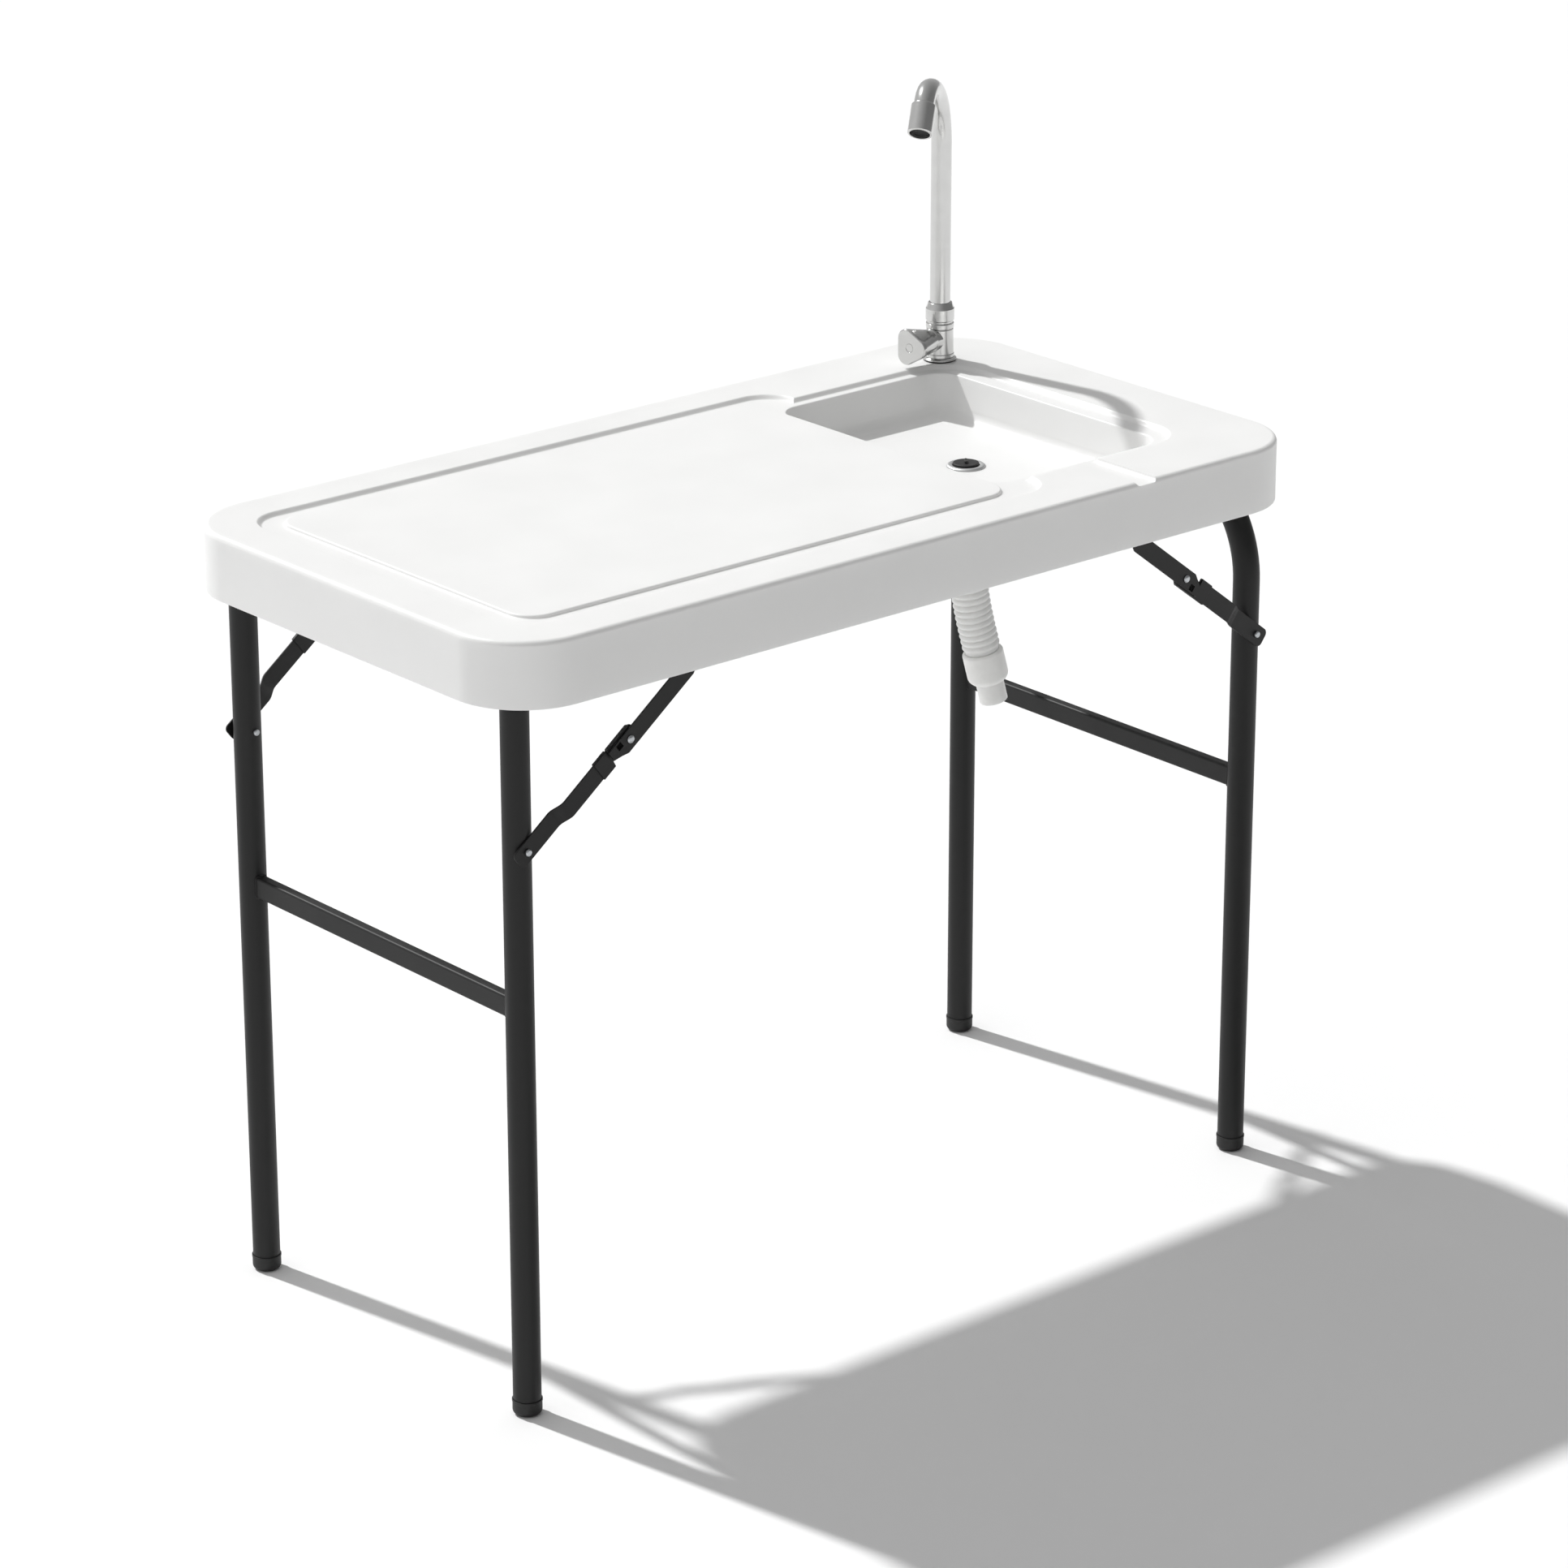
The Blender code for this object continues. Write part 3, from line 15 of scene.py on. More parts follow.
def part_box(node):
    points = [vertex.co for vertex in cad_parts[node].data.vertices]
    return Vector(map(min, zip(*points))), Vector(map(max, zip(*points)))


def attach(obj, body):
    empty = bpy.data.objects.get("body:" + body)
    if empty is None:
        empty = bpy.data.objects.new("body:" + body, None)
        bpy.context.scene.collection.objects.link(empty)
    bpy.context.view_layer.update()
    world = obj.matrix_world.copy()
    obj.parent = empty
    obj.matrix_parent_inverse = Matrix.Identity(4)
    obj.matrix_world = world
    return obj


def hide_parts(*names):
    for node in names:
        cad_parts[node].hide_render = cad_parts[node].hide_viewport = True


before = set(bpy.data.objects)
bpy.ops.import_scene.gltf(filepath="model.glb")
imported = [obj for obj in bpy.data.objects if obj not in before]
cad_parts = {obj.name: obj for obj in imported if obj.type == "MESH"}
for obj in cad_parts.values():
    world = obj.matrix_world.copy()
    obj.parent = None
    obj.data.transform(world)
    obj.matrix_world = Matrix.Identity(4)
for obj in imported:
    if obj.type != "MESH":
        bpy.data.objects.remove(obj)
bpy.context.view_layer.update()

bl_info = {
    "name": "Folding fish-cleaning table",
    "version": (1, 0, 0),
    "blender": (4, 5, 0),
    "location": "View3D > Sidebar > Fish table",
    "description": "Makes a folding outdoor table with a sink, a swivel tap and a drain hose",
    "category": "Object",
}

SIDES = (("front", -1), ("back", 1))
FRAMES = (("left", 1), ("right", -1))
GAP = 0.0003  # between pieces that sit on one another
STRAP_GAP = 0.0004  # between straps that slide past one another
TAP_HOLE = 0.0108
RAIL_WIDTH = 0.0145
RAIL_SHEET = 0.002
RAIL_REACH = 0.0161  # from the leg tube's outside to the face of a rail's boss
LOCK_HALF = 0.0096  # half of a lock ring's length
RIVET_TAIL = 0.0021
KNOB_NECK = 0.0140
KNOB_START = 0.0205

# Rectangles in the top: x from, x to, half width, corner radius
SINK_BOX = (0.193, 0.451, 0.187, 0.030)
RECESS_BOX = (-0.520, 0.233, 0.243, 0.042)
LEDGE_BOX = (0.143, 0.477, 0.2015, 0.050)
PANEL_BOX = (-0.493, 0.187, 0.222, 0.032)

X_AXIS = np.array((1.0, 0.0, 0.0))
Y_AXIS = np.array((0.0, 1.0, 0.0))
Z_AXIS = np.array((0.0, 0.0, 1.0))


def linear(hex_colour):
    """Linear red, green and blue of an sRGB colour written as RRGGBB."""
    channels = [int(hex_colour[i:i + 2], 16) / 255 for i in (0, 2, 4)]
    return tuple(c / 12.92 if c <= 0.04045 else ((c + 0.055) / 1.055) ** 2.4 for c in channels)


def size(name, description, default):
    return FloatProperty(name=name, description=description, default=default, unit="LENGTH", precision=4)


def angle(name, description, degrees):
    return FloatProperty(name=name, description=description, default=math.radians(degrees), unit="ROTATION")


def vector(name, description, default, subtype="TRANSLATION"):
    return FloatVectorProperty(name=name, description=description, default=default, size=3, subtype=subtype)


def colour(name, description, hex_colour):
    return FloatVectorProperty(name=name, description=description, default=linear(hex_colour), size=3,
                               subtype="COLOR", min=0.0, max=1.0)


class TopSizes(bpy.types.PropertyGroup):
    """The moulded top and what is pressed into it."""
    half_x: size("Half length", "Half of the top's length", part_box("tabletop")[1].x)
    half_y: size("Half width", "Half of the top's width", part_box("tabletop")[1].y)
    rim: size("Rim height", "Height of the rim above the floor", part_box("tabletop")[1].z)
    corner: size("Corner", "Radius of the top's corners", 0.0874)
    edge: size("Edge round", "Radius of the rim's outer edge", 0.006)
    skirt: size("Skirt", "Depth of the skirt", 0.0741)
    wall: size("Wall", "Thickness of the skirt and the sink's walls", 0.0035)
    deck: size("Deck", "Thickness of the deck under the recess", 0.004)
    recess: size("Recess", "Depth of the work recess below the rim", 0.005)
    slope: size("Slope", "Run of the recess's dished edge", 0.005)
    lip: size("Lip", "Run of the round at the rim's inner edge", 0.0015)
    panel_drop: size("Panel drop", "How far the work panel lies below the rim", 0.001)
    panel_round: size("Panel round", "Radius of the work panel's edge", 0.0025)
    sink_depth: size("Sink depth", "Depth of the sink's floor below the rim", 0.053)
    sink_taper: size("Sink taper", "How far the sink's walls lean in", 0.008)
    sink_round: size("Sink round", "Radius between the sink's walls and floor", 0.015)
    sink_lip: size("Sink lip", "Radius of the sink's upper edge", 0.002)
    notch: size("Notch", "Depth of the gutter that crosses the front rim", 0.0045)


class DrainSizes(bpy.types.PropertyGroup):
    """The drain, its stopper and its hose."""
    x: size("Drain place", "Distance of the drain from the middle of the top", 0.320)
    flange: size("Flange", "Radius of the drain's flange", 0.0225)
    body: size("Body", "Radius of the drain's threaded body", 0.018)
    nut: size("Nut", "Radius of the nut under the sink", 0.025)
    stopper: size("Stopper", "Radius of the stopper's cap", 0.0152)
    hose: size("Hose", "Radius over the hose's ribs", 0.0223)
    rib_depth: size("Rib depth", "Depth of the hose's ribs", 0.0024)
    pitch: size("Rib pitch", "Distance from one rib to the next", 0.0073)
    ribs: IntProperty(name="Ribs", description="Number of ribs on the hose", default=28, min=1)
    straight: size("Straight", "How far the hose hangs straight down", 0.056)
    bend: size("Bend", "Height over which the hose bends", 0.128)
    lean: FloatProperty(name="Lean", description="Slope of the hose's end against upright", default=0.243)
    heading: angle("Heading", "Direction in which the hose leans", -23)
    cuff: size("Cuff", "Radius of the cuff", 0.02425)
    cuff_length: size("Cuff length", "Length of the cuff", 0.040)
    spigot: size("Spigot", "Radius of the spigot", 0.0165)
    spigot_length: size("Spigot length", "Length of the spigot", 0.025)


class LegSizes(bpy.types.PropertyGroup):
    """The two bent tubes, their cross bars and caps."""
    tube: size("Tube", "Radius of the leg tube", 0.0155)
    tube_wall: size("Tube wall", "Wall of the leg tube", 0.0014)
    spread: size("Spread", "Distance of each leg from the table's middle line", 0.2397)
    left_x: size("Left frame", "Place of the left leg frame", -0.5255)
    right_x: size("Right frame", "Place of the right leg frame", 0.539)
    left_pivot: size("Left pivot", "Height of the left frame's top bar", 0.850)
    right_pivot: size("Right pivot", "Height of the right frame's top bar", 0.841)
    left_bend: size("Left bend", "Bend radius of the left tube", 0.047)
    right_bend: size("Right bend", "Bend radius of the right tube", 0.1285)
    bar_level: size("Cross bar level", "Height of the cross bars", 0.470)
    bar_height: size("Cross bar height", "Height of the cross bars' section", 0.0245)
    bar_thickness: size("Cross bar thickness", "Thickness of the cross bars' section", 0.0135)
    cap: size("Cap", "Radius of the foot caps", 0.01665)
    cap_height: size("Cap height", "Height of the foot caps", 0.018)
    bracket_y: size("Bracket place", "Distance of each bracket from the middle line", 0.070)


class BraceSizes(bpy.types.PropertyGroup):
    """The folding braces between the legs and the rails."""
    level: size("Bolt level", "Height of the pins in the legs", 0.652)
    slope: FloatProperty(name="Slope", description="Slope of the open braces", default=0.766)
    lower: size("Lower arm", "Distance from the leg pin to the knee", 0.1612)
    left_offset: size("Left rail place", "Distance of the rail rivet from the left leg", 0.2298)
    right_offset: size("Right rail place", "Distance of the rail rivet from the right leg", 0.2261)
    strap: size("Strap", "Thickness of the straps", 0.002)
    lower_width: size("Lower width", "Width of the lower arm", 0.0222)
    upper_width: size("Upper width", "Width of the upper arm", 0.0213)
    step: size("Step", "How far the lower arm steps outwards", 0.008)
    rivet: size("Rivet head", "Radius of the rivet heads", 0.0045)
    pin: size("Pin head", "Radius of the leg pins' heads", 0.0039)
    tail: size("Tail", "How far the upper arm reaches past the knee", 0.0288)


class TapSizes(bpy.types.PropertyGroup):
    """The tap, its swivel spout and its knob."""
    x: size("Place along", "Place of the tap along the table", 0.469)
    y: size("Place across", "Place of the tap across the table", 0.2106)
    flange: size("Flange", "Radius of the tap's flange", 0.020)
    body: size("Body", "Radius of the tap's body", 0.0165)
    collar: size("Collar nut", "Radius of the collar nut", 0.0171)
    spout: size("Spout", "Radius of the spout's tube", 0.01215)
    spout_wall: size("Spout wall", "Wall of the spout's tube", 0.0011)
    rise: size("Rise", "Height of the straight part of the spout", 0.2596)
    radius: size("Arch", "Radius of the spout's arch", 0.0855)
    turn: angle("Arch turn", "Angle of the spout's arch", 86.9)
    end_radius: size("End bend", "Radius of the tighter bend after the arch", 0.031)
    end_turn: angle("End turn", "Angle off straight up at which the spout ends", 139.8)
    tip: size("Tip", "Straight length past the bends", 0.0385)
    heading: angle("Spout heading", "Direction in which the spout points", -143.3)
    tip_radius: size("Tip sleeve", "Radius of the sleeve on the spout's tip", 0.01465)
    tip_length: size("Tip length", "Length of the sleeve", 0.0375)
    knob_heading: angle("Knob heading", "Direction in which the knob points", -169.6)
    knob_level: size("Knob level", "Height of the knob above the rim", 0.0268)
    knob_reach: size("Knob reach", "Distance of the knob's face from the tap's axis", 0.059)
    knob_corner: size("Knob corner", "Distance of the knob's corners from its axis", 0.0232)


class Colours(bpy.types.PropertyGroup):
    """The colours of the finishes."""
    top: colour("Top", "Moulded top", "EDEDEC")
    paint: colour("Legs", "Powder coat of the steel", "171717")
    rubber: colour("Caps", "Foot caps and stopper", "161616")
    hose: colour("Hose", "Hose and its fittings", "EEEEEC")
    ring: colour("Drain ring", "Drain flange", "C6C7C7")
    zinc: colour("Zinc", "Rivets and bolts", "B9BCBF")
    nickel: colour("Tap", "Brushed tap", "CFCFCE")
    floor: colour("Floor", "Paper on the studio floor", "F4F4F4")


class Studio(bpy.types.PropertyGroup):
    """Camera, light and floor."""
    camera: vector("Camera", "Place of the camera", (-3.82419, -4.51584, 2.73573))
    aim: vector("Aim", "Point that the camera looks at", (0.02474, -0.02309, 0.52700))
    lens: FloatProperty(name="Lens", description="Focal length in mm on a 36 mm sensor", default=128.1)
    roll: angle("Roll", "Turn of the camera about its own line of sight", -0.07)
    key: FloatProperty(name="Key light", description="Strength of the key light", default=2.85)
    key_slant: vector("Key slant", "Way that the key light comes from", (-0.150, 0.828, 1.0), "DIRECTION")
    key_size: angle("Key size", "Angle that the key light fills", 1.8)
    fill: FloatProperty(name="Fill light", description="Strength of the even light all round", default=0.44)
    fill_slant: vector("Fill slant", "Side on which the even light is brighter", (-0.6, 0.8, 0.0),
                       "DIRECTION")
    floor_size: size("Floor size", "Width of the floor", 40.0)


# Shapes as arrays

def unit(vector):
    return np.asarray(vector, float) / np.linalg.norm(vector)


def soften(line, radius, steps=4):
    """Rounds the corners of an open line of points.

    Each corner P gives way to the curve (1-t)^2 A + 2t(1-t) P + t^2 B, where A and B lie on its two sides,
    radius away or at 45% of the shorter side.
    """
    line = np.asarray(line, float)
    corner = line[1:-1]
    back = line[:-2] - corner
    ahead = line[2:] - corner
    back_run = np.linalg.norm(back, axis=1)
    ahead_run = np.linalg.norm(ahead, axis=1)
    reach = np.minimum(radius, 0.45 * np.minimum(back_run, ahead_run))
    start = (corner + back * (reach / back_run)[:, None])[:, None]
    end = (corner + ahead * (reach / ahead_run)[:, None])[:, None]
    t = np.linspace(0, 1, steps + 1)[:, None]
    curve = (1 - t) ** 2 * start + 2 * t * (1 - t) * corner[:, None] + t * t * end
    return np.concatenate((line[:1], curve.reshape(-1, line.shape[1]), line[-1:]))


def soften_loop(loop, radius, steps=4):
    """The same for a closed outline."""
    loop = np.asarray(loop, float)
    return soften(np.concatenate((loop[-1:], loop, loop[:1])), radius, steps)[1:-1]


def rounded_rings(middle_a, middle_b, half_a, half_b, corner, steps):
    """Rings of a rectangle with round corners: quarter circles centred a corner radius inside."""
    quarter = np.repeat(np.arange(4), steps + 1)
    turn = np.pi / 2 * (quarter + np.tile(np.linspace(0, 1, steps + 1), 4))
    sign_a = np.where((quarter == 0) | (quarter == 3), 1, -1)
    sign_b = np.where(quarter < 2, 1, -1)
    a = middle_a + sign_a * (half_a - corner) + corner * np.cos(turn)
    b = middle_b + sign_b * (half_b - corner) + corner * np.sin(turn)
    return a, b


def grid_of(x, y, z):
    """A grid of points from three arrays that fit one another."""
    return np.stack(np.broadcast_arrays(x, y, z), axis=-1)


def toward(turn):
    """The level direction at that angle from +X."""
    return np.array((math.cos(turn), math.sin(turn), 0))


def stack(box, levels, steps=16):
    """A rectangle with round corners, drawn at each (height, grow) level and grown outwards there."""
    x_low, x_high, half_y, corner = box
    height, grow = np.asarray(levels, float).T[:, :, None]
    radius = np.maximum(corner + grow, 0.0008)
    x, y = rounded_rings((x_low + x_high) / 2, 0.0, (x_high - x_low) / 2 + grow, half_y + grow, radius, steps)
    return grid_of(x, y, height)


def turned(profile, steps=64):
    """A line of (radius, height) points carried round Z: x = r cos a, y = r sin a, z = height."""
    radius, height = np.asarray(profile, float).T[:, :, None]
    turn = np.linspace(0, 2 * np.pi, steps, endpoint=False)
    return grid_of(radius * np.cos(turn), radius * np.sin(turn), height)


def swept(path, radii, side, steps=48):
    """Circles of the given radii round a path in the plane square to side.

    A point is path + r (cos a * side + sin a * side x tangent). The second grid is the same tube unbent,
    with its length along Z, and carries the grain.
    """
    path = np.asarray(path, float)
    tangent = np.gradient(path, axis=0)
    tangent /= np.linalg.norm(tangent, axis=1)[:, None]
    across = np.cross(side, tangent)
    turn = np.linspace(0, 2 * np.pi, steps, endpoint=False)[:, None]
    radii = np.broadcast_to(radii, len(path))[:, None, None]
    ring = np.cos(turn) * side + np.sin(turn) * across[:, None]
    run = np.concatenate(([0], np.cumsum(np.linalg.norm(np.diff(path, axis=0), axis=1))))
    flat = np.concatenate((np.cos(turn), np.sin(turn), 0 * turn), axis=1)
    return path[:, None] + radii * ring, radii * flat + run[:, None, None] * Z_AXIS


def pipe(path, outer, inner, side, steps=48):
    """A tube with a wall: the outer skin forwards along the path and the inner skin back again."""
    skin_out, flat_out = swept(path, outer, side, steps)
    skin_in, flat_in = swept(path, inner, side, steps)
    return np.concatenate((skin_out, skin_in[::-1])), np.concatenate((flat_out, flat_in[::-1]))


def bead(loop, outward, axis, radius, steps=10):
    """A bead laid along a closed line: at each point a circle in the plane of outward and axis."""
    turn = np.linspace(0, 2 * np.pi, steps, endpoint=False)[:, None]
    radius = np.broadcast_to(radius, len(loop))[:, None, None]
    return loop[:, None] + radius * (np.cos(turn) * outward[:, None] + np.sin(turn) * axis)


def placed(points, origin, x=X_AXIS, y=Y_AXIS, z=Z_AXIS):
    """Points moved from their own axes to the table's: origin + a x + b y + c z."""
    return points @ np.stack((x, y, z)) + np.asarray(origin, float)


# Meshes and pieces

def skin(points, own=None, loop=False):
    """A closed mesh over a grid whose rows are rings.

    The last row joins the first one with loop, and the end rows are capped without it. own is a second
    grid with each point's place on the unbent, unplaced piece, kept for the finish.
    """
    rows, columns, _ = points.shape
    index = np.arange(rows * columns).reshape(rows, columns)
    low = index if loop else index[:-1]
    high = np.roll(index, -1, axis=0) if loop else index[1:]
    quads = np.stack((low, np.roll(low, -1, 1), np.roll(high, -1, 1), high), axis=-1)
    faces = quads.reshape(-1, 4).tolist()
    if not loop:
        faces += [index[0].tolist(), index[-1].tolist()]
    mesh = bpy.data.meshes.new("skin")
    mesh.from_pydata(points.reshape(-1, 3).tolist(), [], faces)
    kept = points if own is None else own
    mesh.attributes.new("own", "FLOAT_VECTOR", "POINT").data.foreach_set("vector", kept.ravel())
    heal(mesh)
    return mesh


def heal(mesh):
    """Merges what coincides at seams and poles and turns the faces outwards."""
    bm = bmesh.new()
    bm.from_mesh(mesh)
    bmesh.ops.remove_doubles(bm, verts=bm.verts, dist=1e-7)
    bmesh.ops.dissolve_degenerate(bm, edges=bm.edges, dist=1e-8)
    bmesh.ops.recalc_face_normals(bm, faces=bm.faces)
    bm.to_mesh(mesh)
    bm.free()


def turned_skin(profile, origin, x=X_AXIS, y=Y_AXIS, z=Z_AXIS, loop=False, steps=64):
    """A turned piece, placed; a profile that starts and ends on the axis needs no loop."""
    own = turned(profile, steps)
    return skin(placed(own, origin, x, y, z), own, loop)


def less(points):
    """A cut for carve."""
    return "DIFFERENCE", skin(points)


def plus(points):
    """A join for carve."""
    return "UNION", skin(points)


def carve(mesh, *others):
    """The mesh after a Boolean with each (operation, mesh) in turn."""
    base = bpy.data.objects.new("base", mesh)
    helpers = [base]
    for operation, other in others:
        helper = bpy.data.objects.new("cutter", other)
        helpers.append(helper)
        modifier = base.modifiers.new("step", "BOOLEAN")
        modifier.operation = operation
        modifier.solver = "EXACT"
        modifier.object = helper
    for helper in helpers:
        bpy.context.scene.collection.objects.link(helper)
    bpy.context.view_layer.update()
    graph = bpy.context.evaluated_depsgraph_get()
    result = bpy.data.meshes.new_from_object(base.evaluated_get(graph))
    for helper in helpers:
        bpy.data.objects.remove(helper, do_unlink=True)
    return result


def piece(name, mesh, surface, body, stands_for=None, crease=35, bevel=0.0):
    """Shows a mesh as a piece with that finish, which rides on a body and stands for a CAD node."""
    mesh.name = name
    mesh.materials.clear()
    mesh.materials.append(finish(surface))
    mesh.shade_smooth()
    mesh.set_sharp_from_angle(angle=math.radians(crease))
    obj = bpy.data.objects.new(name, mesh)
    bpy.context.scene.collection.objects.link(obj)
    if bevel:
        rounding = obj.modifiers.new("edges", "BEVEL")
        rounding.width = bevel
        rounding.segments = 2
        rounding.limit_method = "ANGLE"
        rounding.angle_limit = math.radians(crease)
        rounding.harden_normals = False
    shading = obj.modifiers.new("shading", "WEIGHTED_NORMAL")
    shading.keep_sharp = True
    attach(obj, body)
    if stands_for:
        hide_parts(stands_for)


# Finishes

def node(tree, kind, sockets=None, **settings):
    """Adds a node; settings are its own, and each socket gets a value or another node's output."""
    made = tree.nodes.new(kind)
    for key, value in settings.items():
        setattr(made, key, value)
    for key, value in (sockets or {}).items():
        if isinstance(value, bpy.types.NodeSocket):
            tree.links.new(value, made.inputs[key])
        else:
            made.inputs[key].default_value = value
    return made


def blank(name, **values):
    """A new material and its Principled shader, whose sockets get the given values."""
    made = bpy.data.materials.new(name)
    made.use_nodes = True
    shader = made.node_tree.nodes["Principled BSDF"]
    for key, value in values.items():
        shader.inputs[key.replace("_", " ")].default_value = value
    return made, made.node_tree, shader


def per_mm(millimetres):
    """The texture scale whose pattern repeats about every so many millimetres."""
    return 1000 / millimetres


def shades(tree, factor, base, spread):
    """A ramp from a little darker than a colour to a little lighter."""
    ramp = node(tree, "ShaderNodeValToRGB", {"Fac": factor})
    ramp.color_ramp.elements[0].position = 0.3
    ramp.color_ramp.elements[1].position = 0.7
    ramp.color_ramp.elements[0].color = (*[c * (1 - spread) for c in base], 1)
    ramp.color_ramp.elements[1].color = (*[min(c * (1 + spread), 1.0) for c in base], 1)
    return ramp.outputs["Color"]


def coated(made, shader, colour_by, base, spread, gloss_by, gloss, bump=None):
    """Colour by one pattern, roughness between gloss's two values by another, and the bump, if any."""
    tree = made.node_tree
    rough = node(tree, "ShaderNodeMapRange", {"Value": gloss_by, "To Min": gloss[0], "To Max": gloss[1]})
    tree.links.new(shades(tree, colour_by, base, spread), shader.inputs["Base Color"])
    tree.links.new(rough.outputs["Result"], shader.inputs["Roughness"])
    if bump:
        tree.links.new(bump.outputs["Normal"], shader.inputs["Normal"])
    return made


def milky(scale):
    """Subsurface values of a white plastic that light enters alike in each colour."""
    return {"Subsurface_Radius": (1.0, 1.0, 1.0), "Subsurface_Scale": scale}


def moulded_polyethylene(base):
    """Moulded high-density polyethylene: a fine even pebble from the mould, soft gloss, faint clouding."""
    made, tree, shader = blank("moulded_polyethylene", IOR=1.53, Subsurface_Weight=0.3, **milky(0.008))
    place = node(tree, "ShaderNodeTexCoord").outputs["Object"]
    cloud = node(tree, "ShaderNodeTexNoise", {"Vector": place, "Scale": per_mm(90),
                                              "Detail": 3.0}).outputs["Fac"]
    pebble = node(tree, "ShaderNodeTexNoise", {"Vector": place, "Scale": per_mm(0.9), "Detail": 2.0})
    ripple = node(tree, "ShaderNodeTexNoise", {"Vector": place, "Scale": per_mm(38), "Detail": 1.0})
    wave = node(tree, "ShaderNodeBump", {"Height": ripple.outputs["Fac"], "Strength": 0.12,
                                         "Distance": 0.0006})
    grain = node(tree, "ShaderNodeBump", {"Height": pebble.outputs["Fac"], "Strength": 0.16,
                                          "Distance": 0.00006, "Normal": wave.outputs["Normal"]})
    return coated(made, shader, cloud, base, 0.012, cloud, (0.36, 0.50), grain)


def powder_coat(base):
    """Polyester powder coat on steel: orange peel about 1.5 mm across under a satin gloss."""
    made, tree, shader = blank("powder_coated_steel", IOR=1.4)
    place = node(tree, "ShaderNodeTexCoord").outputs["Object"]
    peel = node(tree, "ShaderNodeTexNoise", {"Vector": place, "Scale": per_mm(1.5), "Detail": 2.0})
    dust = node(tree, "ShaderNodeTexNoise", {"Vector": place, "Scale": per_mm(45),
                                              "Detail": 4.0}).outputs["Fac"]
    bump = node(tree, "ShaderNodeBump", {"Height": peel.outputs["Fac"], "Strength": 0.22,
                                         "Distance": 0.00008})
    return coated(made, shader, dust, base, 0.10, dust, (0.42, 0.56), bump)


def moulded_rubber(base):
    """Moulded rubber: dull, with a fine sandy skin and a faint bloom."""
    made, tree, shader = blank("moulded_rubber", IOR=1.52)
    place = node(tree, "ShaderNodeTexCoord").outputs["Object"]
    sand = node(tree, "ShaderNodeTexNoise", {"Vector": place, "Scale": per_mm(0.8), "Detail": 3.0})
    bloom = node(tree, "ShaderNodeTexNoise", {"Vector": place, "Scale": per_mm(12),
                                              "Detail": 3.0}).outputs["Fac"]
    bump = node(tree, "ShaderNodeBump", {"Height": sand.outputs["Fac"], "Strength": 0.3, "Distance": 0.0001})
    return coated(made, shader, bloom, base, 0.15, bloom, (0.50, 0.66), bump)


def blown_polyethylene(base):
    """Blow-moulded low-density polyethylene: milky, waxy gloss, with slight waves in its skin."""
    made, tree, shader = blank("blown_polyethylene", IOR=1.51, Subsurface_Weight=0.4, **milky(0.006))
    place = node(tree, "ShaderNodeTexCoord").outputs["Object"]
    wax = node(tree, "ShaderNodeTexNoise", {"Vector": place, "Scale": per_mm(14),
                                              "Detail": 3.0}).outputs["Fac"]
    bump = node(tree, "ShaderNodeBump", {"Height": wax, "Strength": 0.25, "Distance": 0.0003})
    return coated(made, shader, wax, base, 0.03, wax, (0.30, 0.42), bump)


def zinc_plate(base):
    """Bright zinc plate on steel: cloudy grey with faint crystals about 2 mm across."""
    made, tree, shader = blank("zinc_plated_steel", Metallic=1.0)
    place = node(tree, "ShaderNodeTexCoord").outputs["Object"]
    crystal = node(tree, "ShaderNodeTexVoronoi", {"Vector": place, "Scale": per_mm(2.0)})
    cloud = node(tree, "ShaderNodeTexNoise", {"Vector": place, "Scale": per_mm(5), "Detail": 3.0})
    return coated(made, shader, cloud.outputs["Fac"], base, 0.08, crystal.outputs["Distance"], (0.26, 0.42))


def brushed_plate(name, base, stretch, rough):
    """Brushed nickel plate: hairlines some cm long, laid the way stretch says.

    Real ones are finer than the picture shows, so they are drawn 0.5 mm apart.
    """
    made, tree, shader = blank(name, Metallic=1.0)
    own = node(tree, "ShaderNodeAttribute", attribute_name="own").outputs["Vector"]
    laid = node(tree, "ShaderNodeMapping", {"Vector": own, "Scale": stretch}).outputs["Vector"]
    hairs = node(tree, "ShaderNodeTexNoise", {"Vector": laid, "Scale": per_mm(0.5),
                                              "Detail": 3.0}).outputs["Fac"]
    cloud = node(tree, "ShaderNodeTexNoise", {"Vector": own, "Scale": per_mm(16),
                                              "Detail": 2.0}).outputs["Fac"]
    bump = node(tree, "ShaderNodeBump", {"Height": hairs, "Strength": 0.05, "Distance": 0.00005})
    return coated(made, shader, cloud, base, 0.03, hairs, (rough - 0.05, rough + 0.07), bump)


def studio_floor(paper):
    """Matt white paper, faintly mottled."""
    made, tree, shader = blank("matt_studio_paper", Roughness=0.9)
    place = node(tree, "ShaderNodeTexCoord").outputs["Object"]
    mottle = node(tree, "ShaderNodeTexNoise", {"Vector": place, "Scale": per_mm(400), "Detail": 2.0})
    tree.links.new(shades(tree, mottle.outputs["Fac"], paper, 0.004), shader.inputs["Base Color"])
    return made


